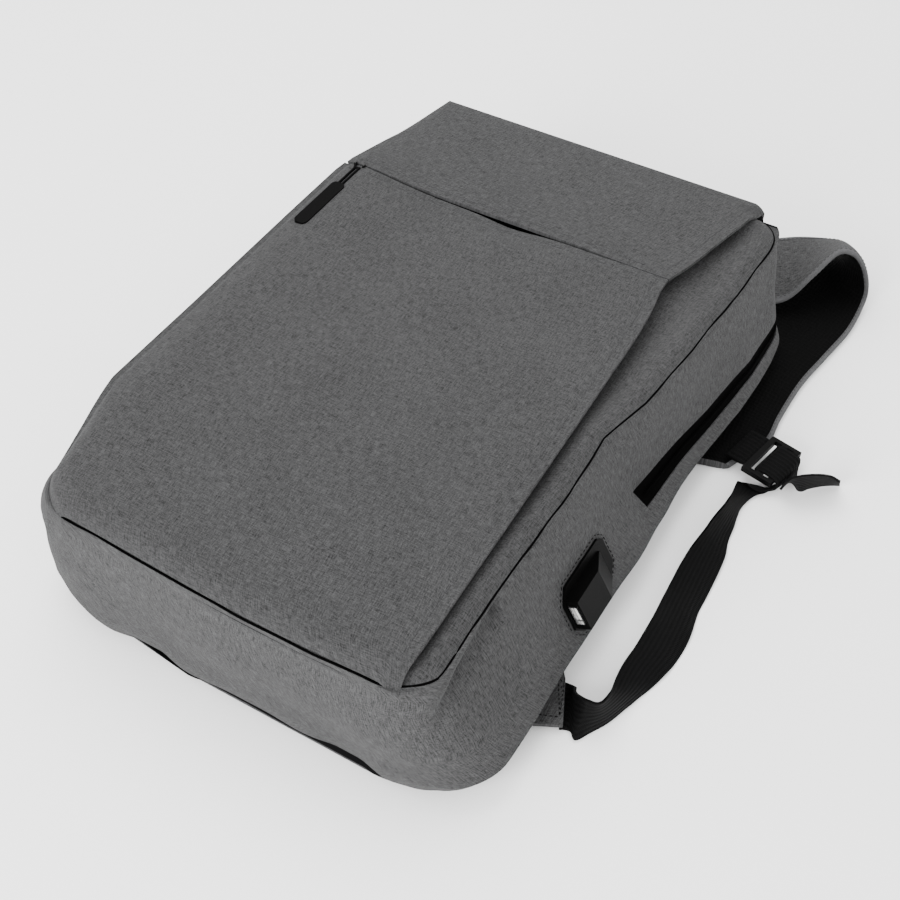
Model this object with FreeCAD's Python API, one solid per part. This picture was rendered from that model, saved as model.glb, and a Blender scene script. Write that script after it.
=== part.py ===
"""Laptop backpack with a side USB port, lying on its back: one closed solid, or group of solids, per piece.

Millimetres. +Z is up through the front cover, +Y runs towards the top of the bag, +X is the USB side.
The origin is the centre of the back rest face, on the surface that the bag lies on.
"""
import FreeCAD
import Part
import math
import os

V = FreeCAD.Vector

# ---- driving dimensions -------------------------------------------------------------------------
WALL = 2.0                # padded fabric wall
PAD_DEPTH = 8.0           # back pads, which carry the bag
SPLIT_Y = 4.0             # where the main zip ends and the upper front starts to open
SPLIT_GAP = 0.4
SLIT_LOW, SLIT_HIGH = 113.5, 118.5    # the front pocket's open slit
SLIT_END_X = 88.0
FRONT_Z = 107.0           # outer face of the front cover
COVER = 2.5               # front cover thickness
WALL_Z = 93.5             # under side of the inner front wall
PIPING_Z = 97.0
WEB_WIDTH, WEB_THICK = 30.0, 1.6
PAD_THICK, LINING_THICK = 5.8, 1.0

# Section of the shell: height, left half width at the low end and at the top end, the same for the
# right, low and top y, corner radius.
BACK = (8.0, 147.0, 149.0, 147.0, 149.0, -219.0, 219.0, 34.0)
WIDE = (22.0, 153.0, 156.0, 153.0, 156.0, -224.0, 223.0, 36.0)
MID = (58.0, 149.0, 150.0, 131.0, 138.0, -224.0, 220.0, 32.0)
LEDGE = (43.0, 146.0, 147.0, 120.0, 151.0, -221.0, 213.0, 30.0)
PIPING = (PIPING_Z, 142.0, 143.0, 114.0, 140.0, -222.0, 214.0, 26.0)
COVER_TOP = (FRONT_Z, 138.0, 139.0, 110.0, 136.0, -218.0, 211.0, 24.0)
HEIGHT, LOW_END, TOP_END = 0, 5, 6
LOWER_LEVELS = (BACK, WIDE, MID, PIPING)
UPPER_LEVELS = (BACK, WIDE, LEDGE, PIPING)

# Free right edge of the front cover, from the bottom seam to the yoke's corner.
WING = ((104, -240), (108, -214), (107, -140), (105, -48), (102, 66), (97, 112), (104, 140), (122, 222))
POCKET_GUSSET_INSET = 16.0

# USB port: its place on the right side panel and the lean of that panel.
PORT_Y, PORT_Z = -77.0, 41.0
FLANGE_LONG, FLANGE_HIGH, FLANGE_THICK = 52.0, 32.0, 1.8
PORT_BODY_LONG, PORT_BODY_HIGH, PORT_BODY_DEEP = 44.0, 24.0, 13.0
HOOD_RISE, HOOD_TAIL_RISE = 11.0, 3.0
SOCKET_WIDE, SOCKET_THICK, SOCKET_DEEP, SOCKET_WALL = 13.2, 5.7, 14.0, 0.4


def box(x0, y0, z0, x1, y1, z1):
    return Part.makeBox(x1 - x0, y1 - y0, z1 - z0, V(x0, y0, z0))


def prism(points, z0, z1):
    wire = Part.makePolygon([V(x, y, z0) for x, y in points] + [V(points[0][0], points[0][1], z0)])
    return Part.Face(wire).extrude(V(0, 0, z1 - z0))


def group(shapes):
    return Part.makeCompound(list(shapes))


def mirrored(shape):
    return shape.mirror(V(0, 0, 0), V(1, 0, 0))


def outline(z, left_low, left_top, right_low, right_top, y_low, y_top, radius, grow=0.0):
    """Closed wire of a section: a trapezoid with four round corners, grown outwards by grow."""
    corners = [
        V(-left_low - grow, y_low - grow, z),
        V(right_low + grow, y_low - grow, z),
        V(right_top + grow, y_top + grow, z),
        V(-left_top - grow, y_top + grow, z),
    ]
    r = max(radius + grow, 2.0)
    starts, ends, middles = [], [], []
    for i, corner in enumerate(corners):
        before = (corners[i - 1] - corner).normalize()
        after = (corners[(i + 1) % 4] - corner).normalize()
        half_angle = before.getAngle(after) / 2
        tangent = r / math.tan(half_angle)
        inward = (before + after).normalize()
        starts.append(corner + before * tangent)
        ends.append(corner + after * tangent)
        middles.append(corner + inward * (r / math.sin(half_angle) - r))
    edges = []
    for i in range(4):
        edges.append(Part.Arc(starts[i], middles[i], ends[i]).toShape())
        edges.append(Part.LineSegment(ends[i], starts[(i + 1) % 4]).toShape())
    return Part.Wire(edges)


def loft(levels, grow=0.0):
    return Part.makeLoft([outline(*level, grow) for level in levels], True, True)


def slab(solid, z0, z1):
    return solid.common(box(-300, -400, z0, 300, 400, z1))


def part_of(solid, x0=-300.0, x1=300.0, y0=-400.0, y1=400.0):
    return solid.common(box(x0, y0, -10, x1, y1, 200))


def ribbon(stations, thick, offset=0.0):
    """Solid band through stations of (edge point, edge point), its middle offset along its normal."""
    rings = []
    for i, (a, b) in enumerate(stations):
        a, b = V(*a), V(*b)
        before = stations[max(i - 1, 0)]
        after = stations[min(i + 1, len(stations) - 1)]
        run = (V(*after[0]) + V(*after[1]) - V(*before[0]) - V(*before[1]))
        normal = run.cross(b - a).normalize()
        low, high = normal * (offset - thick / 2), normal * (offset + thick / 2)
        rings.append([a + low, b + low, b + high, a + high])
    faces = []

    def triangle(p, q, r):
        faces.append(Part.Face(Part.makePolygon([p, q, r, p])))

    def quad(p, q, r, t):
        """Two triangles that share the diagonal from p to r."""
        triangle(p, q, r)
        triangle(p, r, t)

    for near, far in zip(rings, rings[1:]):
        quad(near[0], near[1], far[1], far[0])
        quad(near[1], near[2], far[2], far[1])
        quad(near[3], far[3], far[2], near[2])
        quad(near[3], near[0], far[0], far[3])
    quad(rings[0][3], rings[0][2], rings[0][1], rings[0][0])
    quad(*rings[-1])
    return Part.Solid(Part.makeShell(faces))


parts = {}

# ---- shell of the bag ----------------------------------------------------------------------------
lower_solid, lower_room = loft(LOWER_LEVELS), loft(LOWER_LEVELS, -WALL)
upper_solid, upper_room = loft(UPPER_LEVELS), loft(UPPER_LEVELS, -WALL)
BACK_Z = BACK[HEIGHT] + WALL


def walls(solid, room, z0, z1):
    return slab(solid, z0, z1).cut(room)


lower_walls = part_of(walls(lower_solid, lower_room, BACK_Z, PIPING_Z), y1=SPLIT_Y)
BOTTOM_Y = -186.0
side_right = part_of(lower_walls, x0=0, y0=BOTTOM_Y)
parts["side_panel_left"] = part_of(lower_walls, x1=0, y0=BOTTOM_Y)
parts["bottom_panel"] = part_of(lower_walls, y1=BOTTOM_Y)

lower_back = part_of(slab(lower_solid, BACK[HEIGHT], BACK_Z), y1=SPLIT_Y)
upper_back = part_of(slab(upper_solid, BACK[HEIGHT], BACK_Z), y0=SPLIT_Y)
parts["back_panel"] = lower_back.fuse(upper_back).removeSplitter()

ZIP_LOW, ZIP_MIDDLE, ZIP_HIGH = 32.0, 37.5, LEDGE[HEIGHT] + 0.5
COIL_HALF = 0.5
upper_start = SPLIT_Y + SPLIT_GAP
parts["back_gusset"] = part_of(walls(upper_solid, upper_room, BACK_Z, ZIP_LOW), y0=SPLIT_Y)
parts["main_zip_tape_back"] = part_of(
    walls(upper_solid, upper_room, ZIP_LOW, ZIP_MIDDLE - COIL_HALF), y0=SPLIT_Y)
parts["main_zip_coil"] = part_of(
    walls(upper_solid, upper_room, ZIP_MIDDLE - COIL_HALF, ZIP_MIDDLE + COIL_HALF - 0.2), y0=SPLIT_Y)
parts["main_zip_tape_front"] = part_of(
    walls(upper_solid, upper_room, ZIP_MIDDLE + COIL_HALF, ZIP_HIGH), y0=upper_start)
upper_walls = part_of(walls(upper_solid, upper_room, ZIP_HIGH, PIPING_Z), y0=upper_start)
TOP_Y = 178.0
parts["front_gusset_right"] = part_of(upper_walls, x0=0, y1=TOP_Y)
parts["front_gusset_left"] = part_of(upper_walls, x1=0, y1=TOP_Y)
parts["front_gusset_top"] = part_of(upper_walls, y0=TOP_Y)

parts["front_wall_lower"] = part_of(slab(lower_room, WALL_Z, WALL_Z + WALL), y1=SPLIT_Y)
parts["front_wall_upper"] = part_of(slab(upper_room, WALL_Z, WALL_Z + WALL), y0=upper_start)

# ---- piping round the front seam -------------------------------------------------------------------
PIPING_IN, PIPING_OUT = 0.8, 2.6
piping_ring = Part.Face(outline(*PIPING, PIPING_OUT)).cut(Part.Face(outline(*PIPING, PIPING_IN)))
piping_ring = piping_ring.extrude(V(0, 0, 2.2))
piping_ring.translate(V(0, 0, -1.0))
parts["piping_lower"] = part_of(piping_ring, y1=SPLIT_Y)
parts["piping_upper"] = part_of(piping_ring, y0=upper_start)

# ---- front cover, yoke and pocket -------------------------------------------------------------------
cover_levels = (PIPING, COVER_TOP)
tray = loft(cover_levels).cut(slab(loft(cover_levels, -COVER), 0, FRONT_Z - COVER))
wing = prism(WING + ((-200, 240), (-200, -240)), PIPING_Z, FRONT_Z + 1)
tray = tray.common(wing)
parts["front_cover_lower"] = part_of(tray, y1=SPLIT_Y)
cover_upper = part_of(tray, y0=upper_start, y1=(SLIT_LOW + SLIT_HIGH) / 2)
yoke = part_of(tray, y0=(SLIT_LOW + SLIT_HIGH) / 2)
slit = box(-200, SLIT_LOW, 90, SLIT_END_X, SLIT_HIGH, 120)
parts["front_cover_upper"] = cover_upper.cut(slit)
parts["front_yoke"] = yoke.cut(slit)

gusset_line = [(x - POCKET_GUSSET_INSET, y) for x, y in WING[1:6]]
strip = gusset_line + [(x - 1.6, y) for x, y in reversed(gusset_line)]
pocket_gusset = prism(strip, WALL_Z + WALL, FRONT_Z - COVER)
parts["pocket_gusset_lower"] = part_of(pocket_gusset, y1=SPLIT_Y)
parts["pocket_gusset_upper"] = part_of(pocket_gusset, y0=upper_start)

TAPE_WIDE, TAPE_THICK = 9.0, 0.8
tape_top = FRONT_Z - COVER
parts["pocket_zip_tapes"] = group([
    box(-136, SLIT_LOW - TAPE_WIDE, tape_top - TAPE_THICK, 78, SLIT_LOW, tape_top),
    box(-136, SLIT_HIGH, tape_top - TAPE_THICK, 84, SLIT_HIGH + TAPE_WIDE, tape_top),
])
coil_high = tape_top - TAPE_THICK
parts["pocket_zip_coils"] = group([
    box(-121, SLIT_LOW - 1.6, coil_high - 1.0, 78, SLIT_LOW - 0.2, coil_high),
    box(-121, SLIT_HIGH + 0.2, coil_high - 1.0, 84, SLIT_HIGH + 1.6, coil_high),
])

# Pocket slider: crown on the cover, neck through the slit, foot inside.
SLIDER_X = -134.0
slit_mid = (SLIT_LOW + SLIT_HIGH) / 2
crown_low = FRONT_Z + 0.3
slider = box(SLIDER_X - 6, slit_mid - 4.2, crown_low, SLIDER_X + 6, slit_mid + 4.2, crown_low + 1.8)
slider = slider.fuse(box(SLIDER_X - 4.5, slit_mid - 1.9, 101.0, SLIDER_X + 4.5, slit_mid + 1.9, crown_low))
slider = slider.fuse(box(SLIDER_X - 5, slit_mid - 1.9, 99.6, SLIDER_X + 5, slit_mid + 1.9, 101.0))
BAIL_Z = crown_low + 3.4
bail = box(SLIDER_X - 4, slit_mid - 1.2, crown_low + 1.8, SLIDER_X - 2.6, slit_mid + 1.2, BAIL_Z + 1.6)
parts["pocket_slider"] = slider.fuse(bail).fuse(mirrored(bail).translated(V(2 * SLIDER_X, 0, 0)))

# The pull lies along -Y on the cover: a cord loop, then a rubber grip.
GRIP_WIDE, GRIP_LONG, GRIP_THICK = 9.5, 50.0, 3.6
grip_top_y = 92.0
grip = box(SLIDER_X - GRIP_WIDE / 2, grip_top_y - GRIP_LONG, FRONT_Z + 0.6,
           SLIDER_X + GRIP_WIDE / 2, grip_top_y, FRONT_Z + 0.6 + GRIP_THICK)
upright = [e for e in grip.Edges if abs(e.tangentAt(0).z) > 0.9]
parts["pocket_pull_grip"] = grip.makeFillet(3.6, upright)
CORD_R = 0.9
cord_legs = []
for dx in (-1.5, 1.5):
    start = V(SLIDER_X + dx, grip_top_y, BAIL_Z - 0.4)
    cord_legs.append(Part.makeCylinder(CORD_R, slit_mid - 2.5 - grip_top_y, start, V(0, 1, 0)))
cross_start = V(SLIDER_X - 2.4, slit_mid - 2.5 - CORD_R, BAIL_Z - 0.4)
cross = Part.makeCylinder(CORD_R, 4.8, cross_start, V(1, 0, 0))
parts["pocket_pull_cord"] = cord_legs[0].fuse([cord_legs[1], cross]).removeSplitter()

# ---- main zip sliders, parked either side of the middle of the top run ----------------------------------
ledge_rise = LEDGE[HEIGHT] - WIDE[HEIGHT]
ledge_run = WIDE[TOP_END] - LEDGE[TOP_END]
ledge_lean = math.degrees(math.atan2(ledge_run, ledge_rise))


def on_top_ledge(shape, x):
    """Lays a shape, modelled on z = 0 with +Z outwards, on the zip at the top end."""
    middle_y = WIDE[TOP_END] - ledge_run * (ZIP_MIDDLE - WIDE[HEIGHT]) / ledge_rise
    shape = shape.copy()
    shape.rotate(V(0, 0, 0), V(1, 0, 0), -(90 - ledge_lean))
    shape.translate(V(x, middle_y, ZIP_MIDDLE))
    return shape


def zip_slider():
    """Slider body with two cheeks and the pin that carries its pull, the pull's axis at PULL_AXIS."""
    shape = box(-5.5, -4.2, 0.5, 5.5, 4.2, 2.6)
    for y in (-3.4, 2.0):
        shape = shape.fuse(box(-1.6, y, 2.6, 1.6, y + 1.4, PULL_AXIS + 1.1))
    pin = Part.makeCylinder(0.6, 6.0, V(0, -3.0, PULL_AXIS), V(0, 1, 0))
    return shape.fuse(pin).removeSplitter()


def zip_pull():
    """Flat tab along +X with an eye round the slider's pin."""
    tab = box(2.5, -4.0, PULL_AXIS - 0.8, PULL_LONG, 4.0, PULL_AXIS + 0.8)
    tab = tab.makeFillet(2.0, [e for e in tab.Edges if abs(e.tangentAt(0).z) > 0.9])
    neck = box(0, -1.6, PULL_AXIS - 0.8, 4.0, 1.6, PULL_AXIS + 0.8)
    eye = Part.makeCylinder(1.5, 3.2, V(0, -1.6, PULL_AXIS), V(0, 1, 0))
    hole = Part.makeCylinder(0.75, 12.0, V(0, -6, PULL_AXIS), V(0, 1, 0))
    return tab.fuse([neck, eye]).cut(hole).removeSplitter()


PULL_AXIS, PULL_LONG = 5.5, 22.0
MAIN_SLIDER_X = 24.0
parts["main_slider_a"] = on_top_ledge(zip_slider(), -MAIN_SLIDER_X)
parts["main_slider_b"] = on_top_ledge(zip_slider(), MAIN_SLIDER_X)
parts["main_pull_a"] = on_top_ledge(mirrored(zip_pull()), -MAIN_SLIDER_X)
parts["main_pull_b"] = on_top_ledge(zip_pull(), MAIN_SLIDER_X)

# ---- back pads ---------------------------------------------------------------------------------------
PAD_ROUND = 16.0


def back_pad(x0, x1, y0, y1, radius):
    pad = box(x0, y0, 0, x1, y1, PAD_DEPTH)
    return pad.makeFillet(radius, [e for e in pad.Edges if abs(e.tangentAt(0).z) > 0.9])


parts["back_pad_right"] = back_pad(26, 112, -196, 196, PAD_ROUND)
parts["back_pad_left"] = back_pad(-112, -26, -196, 196, PAD_ROUND)
parts["back_pad_center"] = back_pad(-16, 16, -150, 150, 12.0)

# ---- inside --------------------------------------------------------------------------------------------
SLEEVE_HALF, SLEEVE_LOW, SLEEVE_TOP, SLEEVE_Z = 122.0, -200.0, 118.0, 38.0
sleeve = box(-SLEEVE_HALF, SLEEVE_LOW, BACK_Z, SLEEVE_HALF, SLEEVE_TOP, SLEEVE_Z + 2)
room = box(2 - SLEEVE_HALF, SLEEVE_LOW + 2, BACK_Z, SLEEVE_HALF - 2, SLEEVE_TOP + 1, SLEEVE_Z)
parts["laptop_sleeve"] = sleeve.cut(room)
STRAP_HALF, STRAP_Y = 15.0, SLEEVE_TOP + 4
sleeve_strap = box(-STRAP_HALF, STRAP_Y, BACK_Z + 3, STRAP_HALF, STRAP_Y + 1.8, SLEEVE_Z + 6)
strap_tongue = box(-STRAP_HALF, STRAP_Y - 34, SLEEVE_Z + 4.2, STRAP_HALF, STRAP_Y + 1.8, SLEEVE_Z + 6)
parts["sleeve_strap"] = sleeve_strap.fuse(strap_tongue).removeSplitter()

BANK = (99.0, -150.0, 57.0, 200.0, -32.0, 88.0)
bank_block = box(BANK[0] - WALL, BANK[1] - WALL, BANK[2] - WALL, BANK[3], BANK[4], BANK[5] + WALL)
parts["power_bank_pocket"] = lower_room.common(bank_block).cut(
    box(BANK[0], BANK[1], BANK[2], BANK[3], BANK[4] + 5, BANK[5]))

# ---- USB port, modelled flat (x outwards, y along the bag, z across) and laid on the leaning panel ------


def right_at(section, y):
    """Half width of a section on the right at y."""
    share = (y - section[LOW_END]) / (section[TOP_END] - section[LOW_END])
    return section[3] + (section[4] - section[3]) * share


port_fall = right_at(WIDE, PORT_Y) - right_at(MID, PORT_Y)
port_rise = MID[HEIGHT] - WIDE[HEIGHT]
PORT_LEAN = math.degrees(math.atan2(port_fall, port_rise))
port_x = right_at(WIDE, PORT_Y) + 0.3 - (PORT_Z - WIDE[HEIGHT]) * port_fall / port_rise


def on_side(shape):
    shape = shape.copy()
    shape.rotate(V(0, 0, 0), V(0, 1, 0), -PORT_LEAN)
    shape.translate(V(port_x, PORT_Y, PORT_Z))
    return shape


flange_points = [
    (-FLANGE_LONG / 2, -FLANGE_HIGH / 2 + 6), (-FLANGE_LONG / 2 + 6, -FLANGE_HIGH / 2),
    (FLANGE_LONG / 2 - 14, -FLANGE_HIGH / 2), (FLANGE_LONG / 2, -FLANGE_HIGH / 2 + 12),
    (FLANGE_LONG / 2, FLANGE_HIGH / 2 - 3), (FLANGE_LONG / 2 - 4, FLANGE_HIGH / 2),
    (-FLANGE_LONG / 2 + 8, FLANGE_HIGH / 2), (-FLANGE_LONG / 2, FLANGE_HIGH / 2 - 8)]
flange_wire = Part.makePolygon([V(0.2, y, z) for y, z in flange_points + flange_points[:1]])
flange = Part.Face(flange_wire).extrude(V(FLANGE_THICK, 0, 0))
body = box(-PORT_BODY_DEEP, -PORT_BODY_LONG / 2, -PORT_BODY_HIGH / 2,
           0.2, PORT_BODY_LONG / 2, PORT_BODY_HIGH / 2)
HOOD_LOW, HOOD_TOP, HOOD_HALF = -FLANGE_LONG / 2 + 2, FLANGE_LONG / 2 - 8, 10.5
hood_side = Part.makePolygon([
    V(0, HOOD_LOW, -HOOD_HALF), V(HOOD_RISE, HOOD_LOW, -HOOD_HALF), V(HOOD_RISE, HOOD_LOW + 26, -HOOD_HALF),
    V(HOOD_TAIL_RISE, HOOD_TOP, -HOOD_HALF), V(0, HOOD_TOP, -HOOD_HALF), V(0, HOOD_LOW, -HOOD_HALF)])
hood = Part.Face(hood_side).extrude(V(0, 0, 2 * HOOD_HALF))
socket_x = HOOD_RISE - 5.2
socket_hole = box(socket_x - SOCKET_THICK / 2 - 0.1, HOOD_LOW - 5, -SOCKET_WIDE / 2 - 0.1,
                  socket_x + SOCKET_THICK / 2 + 0.1, HOOD_LOW + SOCKET_DEEP + 0.1, SOCKET_WIDE / 2 + 0.1)
parts["usb_housing"] = on_side(flange.fuse([body, hood]).cut(socket_hole).removeSplitter())
socket_outer = box(socket_x - SOCKET_THICK / 2, HOOD_LOW - 0.4, -SOCKET_WIDE / 2,
                   socket_x + SOCKET_THICK / 2, HOOD_LOW + SOCKET_DEEP, SOCKET_WIDE / 2)
inner_thick, inner_wide = SOCKET_THICK / 2 - SOCKET_WALL, SOCKET_WIDE / 2 - SOCKET_WALL
socket_inner = box(socket_x - inner_thick, HOOD_LOW - 1, -inner_wide,
                   socket_x + inner_thick, HOOD_LOW + SOCKET_DEEP - 1, inner_wide)
parts["usb_socket_shell"] = on_side(socket_outer.cut(socket_inner))
tongue_x = socket_x - 1.3
parts["usb_tongue"] = on_side(box(tongue_x - 0.9, HOOD_LOW + 2.5, -5.6, tongue_x + 0.9,
                                  HOOD_LOW + SOCKET_DEEP - 1, 5.6))
contact_places = (-3.5, -1.0, 1.0, 3.5)
contact_x = tongue_x + 0.9
parts["usb_contacts"] = on_side(group(
    box(contact_x, HOOD_LOW + 3.2, z - 0.4, contact_x + 0.25, HOOD_LOW + 11, z + 0.4) for z in contact_places))
backing = box(-4.6, -27, -15, -3.2, 27, 15)
backing = backing.cut(box(-6, -PORT_BODY_LONG / 2 - 0.3, -PORT_BODY_HIGH / 2 - 0.3, 0,
                          PORT_BODY_LONG / 2 + 0.3, PORT_BODY_HIGH / 2 + 0.3))
parts["usb_backing"] = on_side(backing)
gland = Part.makeCone(4.0, 2.6, 9.0, V(-PORT_BODY_DEEP, 8, 0), V(-1, 0, 0))
parts["usb_gland"] = on_side(gland)
cut_out = box(-30, -PORT_BODY_LONG / 2 - 0.5, -PORT_BODY_HIGH / 2 - 0.5, 0.15,
              PORT_BODY_LONG / 2 + 0.5, PORT_BODY_HIGH / 2 + 0.5)
flange_seat = box(0.15, -FLANGE_LONG / 2 - 0.5, -FLANGE_HIGH / 2 - 0.5,
                  30, FLANGE_LONG / 2 + 0.5, FLANGE_HIGH / 2 + 0.5)
parts["side_panel_right"] = side_right.cut(on_side(cut_out)).cut(on_side(flange_seat))

# ---- shoulder straps: each pad, lining, lock loop, lower webbing and tail is a band through stations -----
ROOT_Z = 12.5
PAD_RIGHT = [
    ((54, 224, ROOT_Z), (114, 224, ROOT_Z)),
    ((78, 268, 21), (127, 228, 17)),
    ((120, 301, 25), (146, 243, 19)),
    ((141, 318, 22), (157, 259, 34)),
    ((155, 328, 18), (167, 274, 49)),
    ((160, 331, 13), (178, 279, 49)),
    ((156, 331, 6.5), (187, 282, 38)),
    ((146, 322, 4), (193, 284, 20)),
    ((134, 302, 4), (194, 279, 7)),
    ((129, 262, 4), (194, 251, 4)),
    ((124, 221, 4), (189, 216, 4)),
    ((119, 188, 4), (184, 182, 4)),
    ((119, 150, 4), (183, 145, 4)),
    ((120, 118, 4), (184, 120, 4)),
    ((124, 92, 4), (177, 103, 4)),
    ((140, 76, 4), (170, 84, 4)),
]
PAD_LEFT = [
    ((-54, 224, ROOT_Z), (-114, 224, ROOT_Z)),
    ((-64, 256, 18), (-122, 233, 18)),
    ((-84, 282, 20), (-138, 249, 20)),
    ((-89, 290, 18), (-152, 271, 18)),
    ((-90, 296, 11), (-154, 278, 11)),
    ((-89, 290, 4.2), (-152, 271, 4.2)),
    ((-98, 246, 4), (-162, 249, 4)),
    ((-114, 205, 4), (-178, 208, 4)),
    ((-118, 160, 4), (-182, 160, 4)),
    ((-118, 118, 4), (-182, 118, 4)),
    ((-122, 92, 4), (-176, 100, 4)),
    ((-138, 74, 4), (-168, 82, 4)),
]
WEB_RIGHT = [
    ((153.5, -117, 3), (167, -144, 3)),
    ((164, -131, 17), (174, -149, 2)),
    ((174, -140, 30), (179, -143, 2)),
    ((182, -137, 29), (186, -130, 2)),
    ((183, -122, 23), (195, -105, 2)),
    ((179, -101, 15), (200, -84, 2)),
    ((180, -78, 15), (203, -65, 2)),
    ((180, -48, 17), (200, -32, 2)),
    ((177, -6, 12), (197, 13, 3)),
    ((182, 20, 18), (192, 40, 2)),
    ((184, 46, 19), (192, 66, 2)),
    ((180, 72, 8), (198, 76, 3)),
]
WEB_LEFT = [
    ((-153.5, -117, 3), (-167, -144, 3)),
    ((-158, -100, 8), (-176, -122, 3)),
    ((-154, -76, 12), (-178, -92, 3)),
    ((-152, -40, 3), (-180, -46, 3)),
    ((-152, 0, 3), (-182, -2, 3)),
    ((-158, 36, 6), (-186, 32, 3)),
    ((-161, 66, 4), (-191, 68, 3)),
]
TAIL_RIGHT = [
    ((208.5, 108, 9), (205, 80, 8)),
    ((212, 98, 3), (209, 77, 21)),
    ((216, 92, 2), (214, 79, 27)),
    ((220, 97, 2), (221, 84, 28)),
    ((226, 104, 2), (232, 91, 26)),
    ((237, 110, 2), (239, 92, 24)),
]
TAIL_LEFT = [
    ((-168, 129, 10), (-196, 123, 10)),
    ((-166, 142, 10), (-194, 143, 10)),
    ((-164, 172, 10), (-192, 174, 10)),
]
LOCK_LONG, LOCK_WIDE, LOCK_THICK = 22.0, 37.0, 4.0
BAR = 4.0


def lock(centre, turn):
    """Ladder lock with three bars: its long side across the webbing, which runs along local x."""
    frame = box(-LOCK_LONG / 2, -LOCK_WIDE / 2, 0, LOCK_LONG / 2, LOCK_WIDE / 2, LOCK_THICK)
    slot_long = (LOCK_LONG - 3 * BAR) / 2
    for start in (-LOCK_LONG / 2 + BAR, BAR / 2):
        opening = box(start, 3 - LOCK_WIDE / 2, -1, start + slot_long, LOCK_WIDE / 2 - 3, LOCK_THICK + 1)
        frame = frame.cut(opening)
    frame.rotate(V(0, 0, 0), V(0, 0, 1), turn)
    frame.translate(V(*centre))
    return frame


def lock_loop(centre, turn, reach):
    """Short webbing loop from the pad's end to just short of the lock's first bar."""
    loop = box(-LOCK_LONG / 2 - 1 - reach, -WEB_WIDTH / 2, 1.0, -LOCK_LONG / 2 - 1, WEB_WIDTH / 2, 3.0)
    loop.rotate(V(0, 0, 0), V(0, 0, 1), turn)
    loop.translate(V(*centre))
    return loop


LINING_OFFSET = (PAD_THICK + LINING_THICK) / 2
strap_sets = {
    "right": (PAD_RIGHT, WEB_RIGHT, TAIL_RIGHT, (193, 97, 8.2), -12.0, 13.0, 1),
    "left": (PAD_LEFT, WEB_LEFT, TAIL_LEFT, (-177, 106, 8.2), 78.0, 14.0, -1),
}
for side, (pad, web, tail, centre, turn, reach, sign) in strap_sets.items():
    parts["strap_pad_" + side] = ribbon(pad, PAD_THICK, -sign * LINING_THICK / 2)
    parts["strap_lining_" + side] = ribbon(pad, LINING_THICK, sign * (LINING_OFFSET - LINING_THICK / 2))
    parts["strap_webbing_" + side] = ribbon(web, WEB_THICK)
    parts["strap_tail_" + side] = ribbon(tail, WEB_THICK)
    parts["ladder_lock_" + side] = lock(centre, turn)
    parts["lock_loop_" + side] = lock_loop(centre, turn, reach)

# ---- strap roots, corner tabs and grab handle ----------------------------------------------------------
anchor = box(54, BACK[TOP_END] - 18, BACK_Z + 0.1, 114, BACK[TOP_END] - 2.6, BACK_Z + 1.6)
parts["strap_root_right"] = anchor
parts["strap_root_left"] = mirrored(anchor)
tab = prism([(136, -164), (146, -110), (152.5, -118), (166, -145.5), (150, -160)], 4.6, BACK[HEIGHT])
parts["corner_tab_right"] = tab
parts["corner_tab_left"] = mirrored(tab)

HANDLE_Y, HANDLE_LONG = 225.0, 34.0
handle = box(-46, HANDLE_Y, 6, 46, HANDLE_Y + HANDLE_LONG, 9.5)
handle = handle.cut(box(-30, HANDLE_Y - 1, 0, 30, HANDLE_Y + HANDLE_LONG - 12, 20))
parts["grab_handle"] = handle

os.makedirs("parts", exist_ok=True)
for name, shape in sorted(parts.items()):
    shape.exportStep("parts/" + name + ".step")
    b = shape.BoundBox
    print(f"{name:22s} solids {len(shape.Solids):2d} valid {shape.isValid()} volume {shape.Volume:10.0f}"
          f"  x {b.XMin:7.1f} {b.XMax:7.1f}  y {b.YMin:7.1f} {b.YMax:7.1f}  z {b.ZMin:6.1f} {b.ZMax:6.1f}")
print(len(parts), "nodes")
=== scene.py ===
"""The looks of the backpack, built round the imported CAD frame. Metres, in the row frame."""
import math

import bpy
import numpy as np
from mathutils import Matrix, Vector, noise


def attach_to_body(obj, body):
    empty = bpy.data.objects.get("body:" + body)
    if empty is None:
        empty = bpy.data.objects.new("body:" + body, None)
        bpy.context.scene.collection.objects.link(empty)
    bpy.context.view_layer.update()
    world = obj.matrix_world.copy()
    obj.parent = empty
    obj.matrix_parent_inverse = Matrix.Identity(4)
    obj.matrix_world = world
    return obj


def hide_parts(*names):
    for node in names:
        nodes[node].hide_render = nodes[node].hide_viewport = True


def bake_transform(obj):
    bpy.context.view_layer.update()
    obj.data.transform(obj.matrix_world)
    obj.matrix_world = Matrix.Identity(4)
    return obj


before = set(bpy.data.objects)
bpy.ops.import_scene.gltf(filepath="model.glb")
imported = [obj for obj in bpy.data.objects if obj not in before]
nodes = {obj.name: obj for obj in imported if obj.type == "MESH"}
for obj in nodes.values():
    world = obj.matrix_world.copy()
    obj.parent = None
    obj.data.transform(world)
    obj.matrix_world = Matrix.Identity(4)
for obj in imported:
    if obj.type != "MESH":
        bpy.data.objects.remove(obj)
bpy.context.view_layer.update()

MM = 0.001

# ---- camera, floor and light ----


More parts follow.
